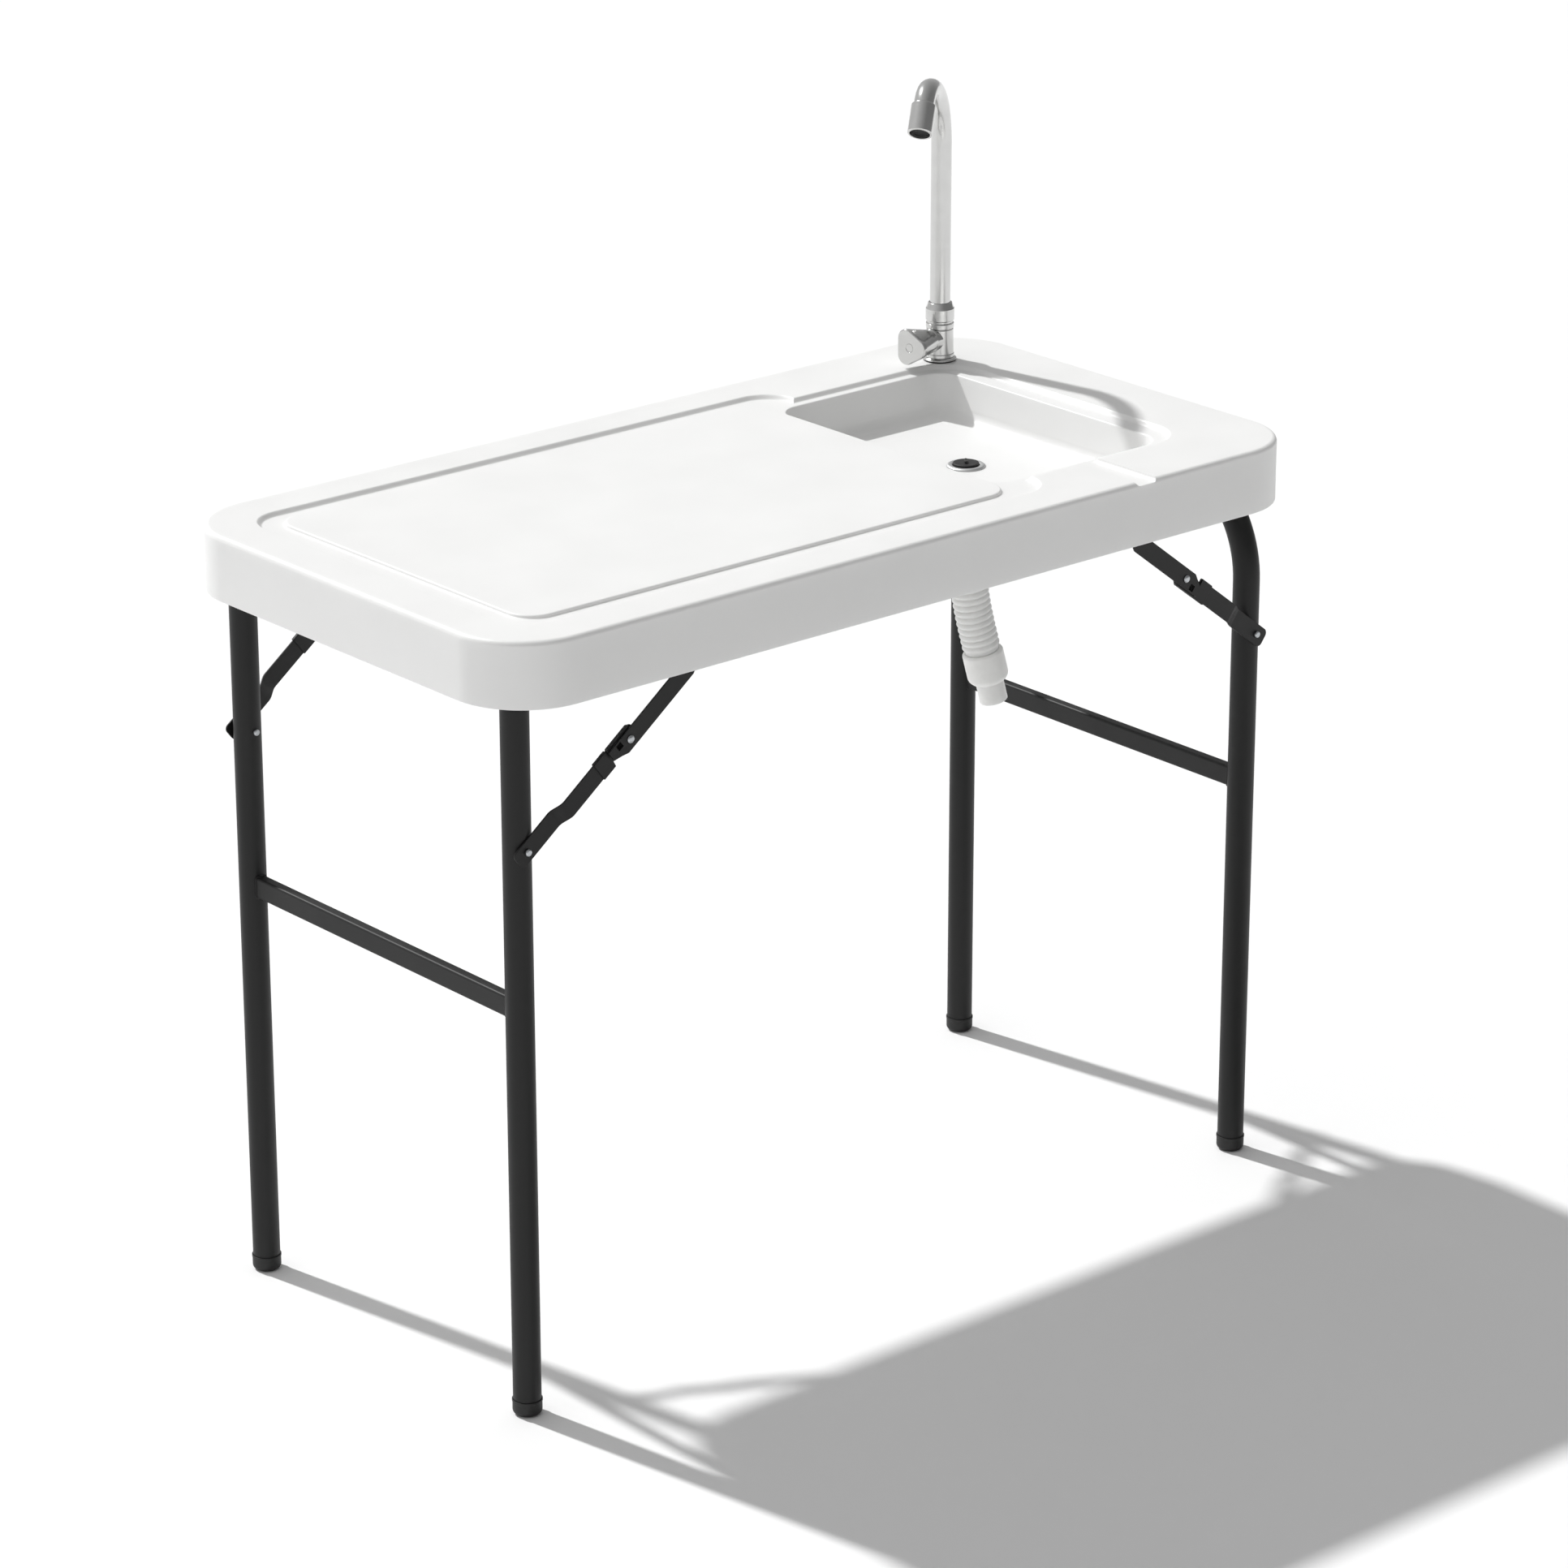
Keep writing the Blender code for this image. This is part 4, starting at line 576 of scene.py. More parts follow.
def finish(name):
    """The finish of that name, made once."""
    colours = bpy.context.scene.fish_table_colours
    round_hairs, long_hairs, turned_hairs = (0.03, 0.03, 1), (1, 1, 0.02), (0.02, 0.02, 1)
    label, maker, *values = {
        "top": ("moulded_polyethylene", moulded_polyethylene, colours.top),
        "paint": ("powder_coated_steel", powder_coat, colours.paint),
        "rubber": ("moulded_rubber", moulded_rubber, colours.rubber),
        "hose": ("blown_polyethylene", blown_polyethylene, colours.hose),
        "zinc": ("zinc_plated_steel", zinc_plate, colours.zinc),
        "ring": ("lathe_turned_steel", brushed_plate, colours.ring, turned_hairs, 0.50),
        "nickel": ("brushed_nickel_round", brushed_plate, colours.nickel, round_hairs, 0.17),
        "nickel_long": ("brushed_nickel_long", brushed_plate, colours.nickel, long_hairs, 0.17),
        "floor": ("matt_studio_paper", studio_floor, colours.floor),
    }[name]
    if label in bpy.data.materials:
        return bpy.data.materials[label]
    return maker(label, *values) if maker is brushed_plate else maker(*values)


# The top

def s_curve(low, high, start, end, steps=10):
    """(height, grow) levels of a dished edge: the height eases in and out by 3t^2 - 2t^3."""
    t = np.linspace(0, 1, steps + 1)
    return np.stack((low + (high - low) * t * t * (3 - 2 * t), start + (end - start) * t), axis=-1)


def round_over(top, radius, start=0.0, steps=8):
    """(height, grow) levels of a convex quarter round that ends at a flat top."""
    turn = np.linspace(0, np.pi / 2, steps + 1)
    return np.stack((top - radius * (1 - np.sin(turn)), start - radius * (1 - np.cos(turn))), axis=-1)


def levels(*parts):
    return np.concatenate([np.atleast_2d(part) for part in parts])


def top_mesh(top, drain):
    """The shell, less hollow, recess, ledge, sink, gutter and holes, plus the sink's shell and the panel."""
    recess_floor = top.rim - top.recess
    deck_under = recess_floor - top.deck
    hem = top.rim - top.skirt
    above = top.rim + top.recess
    outside = stack((-top.half_x, top.half_x, top.half_y, top.corner),
                    levels((hem, -0.0010), (hem + 0.0003, -0.0003), (hem + 0.0010, 0.0),
                           round_over(top.rim, top.edge)), 24)
    inside = top.half_x - top.wall
    hollow = stack((-inside, inside, top.half_y - top.wall, top.corner - top.wall),
                   levels((hem - 0.01, 0.0006), (hem, 0.0006), (hem + 0.0006, 0.0),
                          round_over(deck_under, 0.003)), 24)
    dish = s_curve(recess_floor, top.rim, -top.slope, top.lip)
    cut_up = (above, top.lip)
    recess = stack(RECESS_BOX, levels(dish, cut_up))
    ledge = stack(LEDGE_BOX, levels(dish, cut_up))
    foot = top.panel_round
    panel_top = top.rim - top.panel_drop
    panel = stack(PANEL_BOX,
                  levels((recess_floor - top.deck / 2, foot * 1.4), (recess_floor, foot * 1.4),
                         (recess_floor + foot * 0.12, foot * 0.8), (recess_floor + foot * 0.35, foot * 0.35),
                         round_over(panel_top, top.panel_round, foot * 0.2)))
    floor_z = top.rim - top.sink_depth
    turn = np.linspace(0, np.pi / 2, 11)
    bowl = np.stack((floor_z + top.sink_round * (1 - np.cos(turn)),
                     -top.sink_taper - top.sink_round * (1 - np.sin(turn))), axis=-1)
    lip_turn = np.linspace(0, np.pi / 2, 7)
    lip = np.stack((recess_floor - top.sink_lip * (1 - np.sin(lip_turn)),
                    top.sink_lip * (1 - np.cos(lip_turn))), axis=-1)
    cavity = stack(SINK_BOX, levels(bowl, lip, (above, top.sink_lip)), 20)
    under = floor_z - top.deck
    reach = top.sink_round + top.wall
    shell_wall = np.stack((under + reach * (1 - np.cos(turn)),
                           top.wall - top.sink_taper - top.sink_round * (1 - np.sin(turn))), axis=-1)
    shell = stack(SINK_BOX, levels(shell_wall, (recess_floor - top.deck / 2, top.wall)), 20)
    half, gutter = 0.0155, top.rim - top.notch
    outline = soften([(drain.x - half, above), (drain.x - half, gutter + top.notch * 0.8),
                      (drain.x - half + 0.0035, gutter), (drain.x + half - 0.0035, gutter),
                      (drain.x + half, gutter + top.notch * 0.8), (drain.x + half, above)], 0.0015)
    reach_y = np.array((-top.half_y - top.edge, -SINK_BOX[2] - 0.00725))[:, None]
    notch = grid_of(outline[:, 0], reach_y, outline[:, 1])
    drain_hole = turned([(drain.body + GAP, under - 0.002), (drain.body + GAP, floor_z + 0.002)], 64)
    tap = bpy.context.scene.fish_table_tap
    tap_hole = turned([(TAP_HOLE, deck_under - 0.004), (TAP_HOLE, above)], 48)
    return carve(skin(outside), less(hollow), plus(shell), less(recess), less(ledge), plus(panel),
                 less(cavity), less(notch), less(drain_hole + X_AXIS * drain.x),
                 less(tap_hole + X_AXIS * tap.x + Y_AXIS * tap.y))


class FISHTABLE_OT_top(bpy.types.Operator):
    """Makes the moulded top with its work panel, sink and gutter."""
    bl_idname = "fishtable.top"
    bl_label = "Table top"

    def execute(self, context):
        mesh = top_mesh(context.scene.fish_table_top, context.scene.fish_table_drain)
        piece("moulded_top", mesh, "top", "tabletop", "tabletop", 28)
        return {"FINISHED"}


def rail_end(side, x, z, face, inner):
    """A pressed boss that reaches in from the rail to the brace."""
    profile = soften([(0, 0), (0.008, 0), (0.008, face - inner + 0.001), (0, face - inner + 0.001)], 0.0006)
    return turned_skin(profile, (x, side * inner, z), X_AXIS, np.cross((0, side, 0), X_AXIS), side * Y_AXIS)


class FISHTABLE_OT_rails(bpy.types.Operator):
    """Makes the angle rails under the long sides and their bosses."""
    bl_idname = "fishtable.rails"
    bl_label = "Rails"

    def execute(self, context):
        brace = context.scene.fish_table_brace
        legs = context.scene.fish_table_legs
        for name, side in SIDES:
            low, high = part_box(f"rail_{name}")
            outer_y = max(abs(low.y), abs(high.y))
            face, shelf = outer_y - RAIL_WIDTH, high.z - RAIL_SHEET
            outline = soften_loop([(face, low.z), (face + RAIL_SHEET, low.z), (face + RAIL_SHEET, shelf),
                                   (outer_y, shelf), (outer_y, high.z), (face, high.z)],
                                  (0.0006, 0.0006, 0.0012, 0.0006, 0.0006, 0.0030), 4)
            ends = np.array((low.x, high.x))[:, None]
            grid = grid_of(ends, side * outline[:, 0], outline[:, 1])
            piece(f"rail_angle_{name}", skin(grid), "paint", "tabletop", f"rail_{name}", bevel=0.0003)
            inner = legs.spread + legs.tube + RAIL_REACH
            for frame_name, inward in FRAMES:
                x, z = brace_top(legs, brace, frame_name, inward)
                boss = rail_end(side, x, z, face, inner)
                piece(f"rail_boss_{frame_name}_{name}", boss, "paint", "tabletop")
        return {"FINISHED"}


def brace_top(legs, brace, frame_name, inward):
    """(x, z) where the straight brace meets its rail."""
    offset = getattr(brace, f"{frame_name}_offset")
    return getattr(legs, f"{frame_name}_x") + inward * offset, brace.level + brace.slope * offset


# Drain and hose

def drain_origin(context):
    top = context.scene.fish_table_top
    return np.array((context.scene.fish_table_drain.x, 0, top.rim - top.sink_depth))


class FISHTABLE_OT_drain(bpy.types.Operator):
    """Makes the drain's flange, its nut and the stopper."""
    bl_idname = "fishtable.drain"
    bl_label = "Drain"

    def execute(self, context):
        drain = context.scene.fish_table_drain
        deck = context.scene.fish_table_top.deck
        origin = drain_origin(context)
        bore = drain.body - 0.0022
        seat = drain.stopper + GAP
        tail = -deck - 0.026
        flange = soften_loop([(drain.flange, GAP), (drain.flange, 0.0012), (drain.flange - 0.0018, 0.0025),
                              (seat + 0.0022, 0.0025), (seat, 0.0021), (bore, 0.0), (bore, tail),
                              (drain.body, tail), (drain.body, GAP)], 0.0008)
        ring = turned_skin(flange, origin, loop=True, steps=96)
        piece("drain_flange", ring, "ring", "tabletop", "drain_body")
        top_z = -deck - GAP
        low_z = top_z - 0.009
        nut = soften_loop([(drain.nut, top_z), (drain.body + GAP, top_z), (drain.body + GAP, low_z),
                           (drain.nut - 0.002, low_z), (drain.nut, low_z + 0.002)], 0.0005)
        own = turned(nut, 144)
        reach = np.linalg.norm(own[..., :2], axis=-1)
        spokes = np.cos(24 * np.arctan2(own[..., 1], own[..., 0]))
        grip = 1 - 0.012 * (reach > drain.nut - 0.0025) * (1 - spokes) / 2
        own[..., :2] *= grip[..., None]
        piece("drain_grip_nut", skin(own + origin, own, True), "hose", "tabletop", "drain_nut", 50)
        self.stopper(drain, origin)
        return {"FINISHED"}

    def stopper(self, drain, origin):
        """A flat cap over a short plug, with a finger bar across it."""
        top_z = 0.00475
        plug = soften([(0, -0.006), (0.011, -0.006), (0.013, -0.004), (0.013, 0.002), (drain.stopper, 0.0028),
                       (drain.stopper, top_z - 0.0004), (drain.stopper - 0.0012, top_z), (0, top_z)], 0.0006)
        box = (-0.0065, 0.0065, 0.0018, 0.0016)
        sides = levels((top_z - 0.001, 0.0), (top_z + 0.001, 0.0), round_over(top_z + 0.003, 0.0009))
        bar = stack(box, sides, 6)
        turn = math.radians(50)
        lay = (toward(turn), np.array((-math.sin(turn), math.cos(turn), 0)))
        mesh = carve(turned_skin(plug, origin), plus(placed(bar, origin, *lay)))
        piece("rubber_stopper", mesh, "rubber", "drain_stopper", "drain_stopper")


def hose_line(drain, top_z, drop):
    """The hose's centre line so many metres below its top: straight down, a steady bend, straight on."""
    run = np.clip(drop - drain.straight, 0.0, drain.bend)
    past = np.clip(drop - drain.straight - drain.bend, 0.0, None)
    aside = drain.lean / (2 * drain.bend) * run * run + drain.lean * past
    x, y, _ = toward(drain.heading)
    return np.stack((drain.x + aside * x, aside * y, top_z - drop), axis=-1)


class FISHTABLE_OT_hose(bpy.types.Operator):
    """Makes the ribbed drain hose with its cuff and spigot."""
    bl_idname = "fishtable.hose"
    bl_label = "Drain hose"

    def execute(self, context):
        drain = context.scene.fish_table_drain
        top = context.scene.fish_table_top
        top_z = top.rim - top.sink_depth - top.deck - 0.009 - 2 * GAP
        length = (drain.ribs + 1) * drain.pitch
        drop = np.linspace(0.0, length, drain.ribs * 12 + 13)
        wave = 0.5 - 0.5 * np.cos(2 * np.pi * (drop / drain.pitch - 0.5))
        inside = (drop > drain.pitch * 0.5) & (drop < length - drain.pitch * 0.5)
        outer = drain.hose - drain.rib_depth * np.where(inside, 1 - wave ** 0.55, 1.0)
        side = np.cross(Z_AXIS, toward(drain.heading))
        path = hose_line(drain, top_z, drop)
        points, own = pipe(path, outer, drain.body + 0.0006, side)
        piece("ribbed_drain_hose", skin(points, own, True), "hose", "tabletop", "drain_hose", 60)
        start = path[-1]
        down = unit(hose_line(drain, top_z, np.array(length + drain.pitch)) - start)
        across = np.cross(side, down)
        bore = 0.013
        end = drain.cuff_length
        lay = (start, side, across, down, True, 72)
        cuff = soften_loop([(bore, GAP), (drain.cuff - 0.002, GAP), (drain.cuff, 0.0025),
                            (drain.cuff, end - 0.006), (drain.cuff - 0.005, end), (bore, end)],
                           (0.0003, 0.002, 0.002, 0.003, 0.003, 0.0003), 6)
        piece("hose_cuff_moulding", turned_skin(cuff, *lay), "hose", "tabletop", "hose_cuff")
        low, tip = end + GAP, end + GAP + drain.spigot_length
        spigot = soften_loop([(bore, low), (drain.spigot, low), (drain.spigot, tip), (bore, tip)],
                             (0.0003, 0.0003, 0.0014, 0.0010))
        piece("hose_spigot_moulding", turned_skin(spigot, *lay), "hose", "tabletop", "hose_spigot")
        return {"FINISHED"}


# Leg frames

def frame_line(leg_x, pivot, bend, spread, foot, steps=24):
    """From one foot straight up, round a quarter circle, over the top bar and down to the other foot."""
    turn = np.linspace(0, np.pi / 2, steps + 1)
    y = spread - bend * (1 - np.cos(turn))
    z = pivot + bend * (np.sin(turn) - 1)
    y = np.concatenate(([-spread], -y, y[::-1], [spread]))
    z = np.concatenate(([foot], z, z[::-1], [foot]))
    return np.stack((np.full_like(y, leg_x), y, z), axis=-1)


class FISHTABLE_OT_legs(bpy.types.Operator):
    """Makes the two leg frames: tube, cross bar, welds, foot caps and pins."""
    bl_idname = "fishtable.legs"
    bl_label = "Leg frames"

    def execute(self, context):
        legs = context.scene.fish_table_legs
        brace = context.scene.fish_table_brace
        for name, _ in FRAMES:
            body = f"{name}_leg_frame"
            leg_x = getattr(legs, f"{name}_x")
            pivot, bend = getattr(legs, f"{name}_pivot"), getattr(legs, f"{name}_bend")
            path = frame_line(leg_x, pivot, bend, legs.spread, 0.0043)
            points, own = pipe(path, legs.tube, legs.tube - legs.tube_wall, X_AXIS)
            piece(f"{name}_bent_tube", skin(points, own, True), "paint", body, f"{name}_leg_tube", 50)
            self.cross_bar(name, legs, leg_x, body)
            for side_name, side in SIDES:
                label, y = f"{name}_{side_name}", side * legs.spread
                self.cap(label, legs, (leg_x, y, 0), body)
                self.pin(label, legs, brace, (leg_x, y, brace.level), side, body)
        return {"FINISHED"}

    def cross_bar(self, name, legs, leg_x, body):
        """A flat-sided oval tube with a weld bead where it meets each leg."""
        half = legs.spread - legs.tube + 0.0009
        box = (-legs.bar_height / 2, legs.bar_height / 2, legs.bar_thickness / 2, 0.0030)
        bar = stack(box, ((-half, 0.0), (half, 0.0)), 6)
        lay = (Z_AXIS, X_AXIS, Y_AXIS)
        origin = np.array((leg_x, 0, legs.bar_level))
        piece(f"{name}_flat_cross_bar", skin(placed(bar, origin, *lay), bar), "paint", body,
              f"{name}_cross_bar")
        for side_name, side in SIDES:
            loop = stack(box, ((side * (half - 0.0009), 0.0002),), 10)[0]
            outward = loop * (1, 1, 0)
            outward /= np.linalg.norm(outward, axis=1)[:, None]
            ripple = 0.0013 + 0.00018 * np.sin(np.arange(len(loop)) * 2.1)
            weld = bead(loop, outward, Z_AXIS, ripple)
            mesh = skin(placed(weld, origin, *lay), weld, True)
            piece(f"{name}_{side_name}_weld", mesh, "paint", body, crease=60)

    def cap(self, name, legs, origin, body):
        """A pushed-on cap with a rounded sole and a thin rolled edge."""
        r, h = legs.cap, legs.cap_height
        inner = legs.tube + GAP
        profile = soften([(0, 0), (r - 0.004, 0), (r - 0.0004, 0.0036), (r - 0.0004, h - 0.0030),
                          (r, h - 0.0026), (r, h), (inner, h), (inner, 0.004), (0, 0.004)],
                         (0.002, 0.003, 0.0006, 0.0006, 0.0008, 0.0004, 0.0004), 5)
        piece(f"{name}_cap", turned_skin(profile, origin), "rubber", body, f"{name}_foot_cap")

    def pin(self, name, legs, brace, origin, side, body):
        """A turned pin: round head outside the brace, shank through the leg, an end formed over inside."""
        lay = (X_AXIS, np.cross((0, side, 0), X_AXIS), side * Y_AXIS)
        head = legs.tube + 0.0028
        top_z = head + 0.0034
        inside = -legs.tube - GAP
        end = inside - 0.0034
        r, end_r = brace.pin, 0.0036
        line = soften([(0, end), (end_r - 0.0008, end), (end_r, end + 0.0010), (end_r, inside),
                       (0.003, inside), (0.003, head), (r, head), (r, top_z - 0.0012), (r - 0.0009, top_z),
                       (0, top_z - 0.0001)],
                      (0.0006, 0.0006, 0.0003, 0.0002, 0.0002, 0.0002, 0.0008, 0.0006), 4)
        piece(f"{name}_turned_pin", turned_skin(line, origin, *lay, steps=48), "zinc", body,
              f"{name}_leg_bolt")


class FISHTABLE_OT_brackets(bpy.types.Operator):
    """Makes the saddles that hold the leg frames' top bars, with their screws."""
    bl_idname = "fishtable.brackets"
    bl_label = "Brackets"

    def execute(self, context):
        legs = context.scene.fish_table_legs
        top = context.scene.fish_table_top
        deck = top.rim - top.recess - top.deck - GAP
        for name, _ in FRAMES:
            x, pivot = getattr(legs, f"{name}_x"), getattr(legs, f"{name}_pivot")
            for side_name, side in SIDES:
                place = np.array((x, side * legs.bracket_y, 0))
                label, mesh = f"{name}_{side_name}", self.saddle(legs, place, pivot, deck)
                piece(f"{label}_saddle", mesh, "paint", "tabletop", f"{label}_bracket", bevel=0.0006)
                for way_name, way in (("in", 1), ("out", -1)):
                    head = soften([(0, 0), (0.0036, 0), (0.0036, -0.0011), (0.0018, -0.0023), (0, -0.0024)],
                                  (0.0003, 0.0006, 0.0015), 4)
                    spot = place + (way * (legs.tube + 0.0091), 0, deck - 0.0031)
                    piece(f"{label}_screw_{way_name}", turned_skin(head, spot, steps=24), "zinc", "tabletop")
        return {"FINISHED"}

    def saddle(self, legs, place, pivot, deck):
        """A bent strap: flat ears, a half round under the bar and a half round bore."""
        outer, inner = legs.tube + 0.0043, legs.tube + GAP
        reach = outer + 0.0095
        turn = np.linspace(np.pi, 2 * np.pi, 25)
        arc = np.stack((outer * np.cos(turn), pivot + outer * np.sin(turn)), axis=-1)
        outline = levels([(reach, deck), (-reach, deck), (-reach, deck - 0.003), (-outer, deck - 0.003)], arc,
                         [(outer, deck - 0.003), (reach, deck - 0.003)])
        ends = place[1] + np.array((-0.012, 0.012))[:, None]
        grid = grid_of(place[0] + outline[:, 0], ends, outline[:, 1])
        bore = turned([(inner, -0.02), (inner, 0.02)], 48)
        bore = placed(bore, place + (0, 0, pivot), X_AXIS, Z_AXIS, Y_AXIS)
        return carve(skin(grid), less(bore))


# Braces: own X lies along the strap, Y outwards from the leg and Z across the strap

def strap(along, inner, low, high, thickness, edge=0.00045, steps=3):
    """Sections of a flat strap, each a rectangle with round edges, at so many metres along it."""
    spread = np.broadcast_arrays(along, inner, low, high)
    along, inner, low, high = (np.asarray(values, float)[:, None] for values in spread)
    half = thickness / 2
    y, z = rounded_rings(inner + half, (low + high) / 2, half, (high - low) / 2, edge, steps)
    return grid_of(along, y, z)


def round_end(end, radius, half, inward, steps=8):
    """Places and half widths of a strap's end with round corners, from its tip inwards."""
    turn = np.linspace(0, np.pi / 2, steps + 1)
    return end + inward * radius * (1 - np.cos(turn)), half - radius * (1 - np.sin(turn))


def lower_arm(brace, near, far, lip_top, boss_top):
    """Straight, a step outwards by 3t^2 - 2t^3, then straight with a slanting cut, a lip and a boss."""
    half = brace.lower_width / 2
    nose = brace.lower + 0.0125
    start, start_half = round_end(-0.0155, 0.006, half, 1)
    finish_at, finish_half = round_end(nose, 0.006, half, -1)
    t = np.linspace(0, 1, 13)
    cut = brace.lower - brace.tail + np.array((0.0, 0.0006, 0.0123))
    along = np.concatenate((start, 0.044 + 0.019 * t, cut, finish_at[::-1]))
    inner = np.concatenate((np.full_like(start, near), near + (far - near) * t * t * (3 - 2 * t),
                            np.full(3 + len(finish_at), far)))
    low = -np.concatenate((start_half, np.full(16, half), finish_half[::-1]))
    high = np.concatenate((start_half, np.full(14, half), (half - 0.005, half), finish_half[::-1]))
    lip_at = brace.lower + np.array((-0.028, -0.027, 0.0065, 0.0085))
    lip = strap(lip_at, far, (-half - 0.0004, -half - 0.0016, -half - 0.0016, -half - 0.0002),
                -half + 0.0010, lip_top - far)
    boss = soften([(0, far + 0.001), (0.008, far + 0.001), (0.008, boss_top), (0, boss_top)], 0.0003)
    across = placed(turned(boss, 40), (brace.lower, 0, 0), X_AXIS, -Z_AXIS, Y_AXIS)
    return carve(skin(strap(along, inner, low, high, brace.strap)), plus(lip), plus(across))


def upper_arm(brace, layer, length):
    """A strap with a tapered tail behind the knee, a narrow end at the rail and a square hole."""
    half, end_half = brace.upper_width / 2, 0.0070
    tip = -half + 0.0112
    finish_at, finish_half = round_end(length + end_half, end_half - 0.0006, end_half, -1)
    tail = -brace.tail
    along = np.concatenate(((tail, tail + 0.0006, tail + 0.0016, -half, length - 0.028, length - 0.021),
                            finish_at[::-1]))
    end_low, end_high = -finish_half[::-1], finish_half[::-1]
    low = np.concatenate(((-half + 0.0014, -half + 0.0004, -half, -half, -half, -end_half), end_low))
    high = np.concatenate(((tip - 0.0004, tip + 0.0004, tip + 0.0010, half, half, end_half), end_high))
    square = stack((-0.00375, 0.00375, 0.00375, 0.0005), ((layer - 0.002, 0), (layer + 0.005, 0)), 3)
    hole = placed(square, (-0.0145, 0, -0.005), X_AXIS, -Z_AXIS, Y_AXIS)
    return carve(skin(strap(along, layer, low, high, brace.strap)), less(hole))


def lock_sleeve(brace, middle):
    """A flat sleeve with rolled ends round the lower arm."""
    loop = soften_loop([(0.0, -LOCK_HALF), (0.0, LOCK_HALF), (-0.0010, LOCK_HALF), (-0.0010, -LOCK_HALF)],
                       0.0004, 4)
    grow, along = loop.T[:, :, None]
    half_y = brace.strap / 2 + 0.0013
    half_z = brace.lower_width / 2 + 0.0013
    y, z = rounded_rings(middle, 0.0, half_y + grow, half_z + grow, 0.0014 + grow, 5)
    return grid_of(along, y, z)


def rivet(brace, low, high, tail):
    """Domed head above high, shank, and a flatter formed head below low, turned about Y."""
    r, t = brace.rivet, 0.0045
    head = [(0.003, high), (r, high), (r, high + 0.0006), (r * 0.78, high + 0.0015), (r * 0.4, high + 0.0020),
            (0, high + 0.0021)]
    foot = [(0, low - tail), (t * 0.7, low - tail), (t, low - tail * 0.4), (t, low), (0.003, low)]
    own = turned(soften(foot + head, 0.0006, 4), 40)
    return placed(own, (0, 0, 0), X_AXIS, -Z_AXIS, Y_AXIS)


class FISHTABLE_OT_braces(bpy.types.Operator):
    """Makes the four folding braces with their lock rings and rivets."""
    bl_idname = "fishtable.braces"
    bl_label = "Braces"

    def execute(self, context):
        legs, brace = context.scene.fish_table_legs, context.scene.fish_table_brace
        near = legs.tube + STRAP_GAP
        far = near + brace.step
        lip_top = far + brace.strap + 0.003
        layer = lip_top + STRAP_GAP
        outside = layer + brace.strap
        tilt = math.atan(brace.slope)
        for name, inward in FRAMES:
            offset = getattr(brace, f"{name}_offset")
            length = offset * math.hypot(1, brace.slope) - brace.lower
            way = np.array((inward * math.cos(tilt), 0, math.sin(tilt)))
            for side_name, side in SIDES:
                label = f"{name}_{side_name}"
                out = side * Y_AXIS
                turn = Matrix(np.stack((way, out, np.cross(way, out))).T.tolist()).to_4x4()
                bolt = Vector((getattr(legs, f"{name}_x"), side * legs.spread, brace.level))
                knee = bolt + Vector(way) * brace.lower
                lock = bolt + Vector(way) * (brace.lower - brace.tail - 0.0006 - LOCK_HALF)
                rail = bolt + Vector(way) * (brace.lower + length)
                sleeve = skin(lock_sleeve(brace, far + brace.strap / 2), loop=True)
                knee_rivet = skin(rivet(brace, far - GAP, outside + GAP, RIVET_TAIL))
                rail_rivet = skin(rivet(brace, layer - GAP, outside - 0.002, RIVET_TAIL))
                made = (
                    ("lower_strap", lower_arm(brace, near, far, lip_top, layer - GAP), bolt, "paint",
                     "lower_arm", "lower_arm"),
                    ("upper_strap", upper_arm(brace, layer, length), knee, "paint", "upper_arm", "upper_arm"),
                    ("lock_sleeve", sleeve, lock, "paint", "lock_ring", "lock_ring"),
                    ("knee_rivet_head", knee_rivet, knee, "zinc", "upper_arm", "knee_rivet"),
                    ("rail_rivet_head", rail_rivet, rail, "zinc", "upper_arm", "rail_rivet"))
                for kind, mesh, origin, surface, body, cad_node in made:
                    mesh.transform(Matrix.Translation(origin) @ turn)
                    piece(f"{label}_{kind}", mesh, surface, f"{label}_{body}", f"{label}_{cad_node}")
        return {"FINISHED"}


# Tap

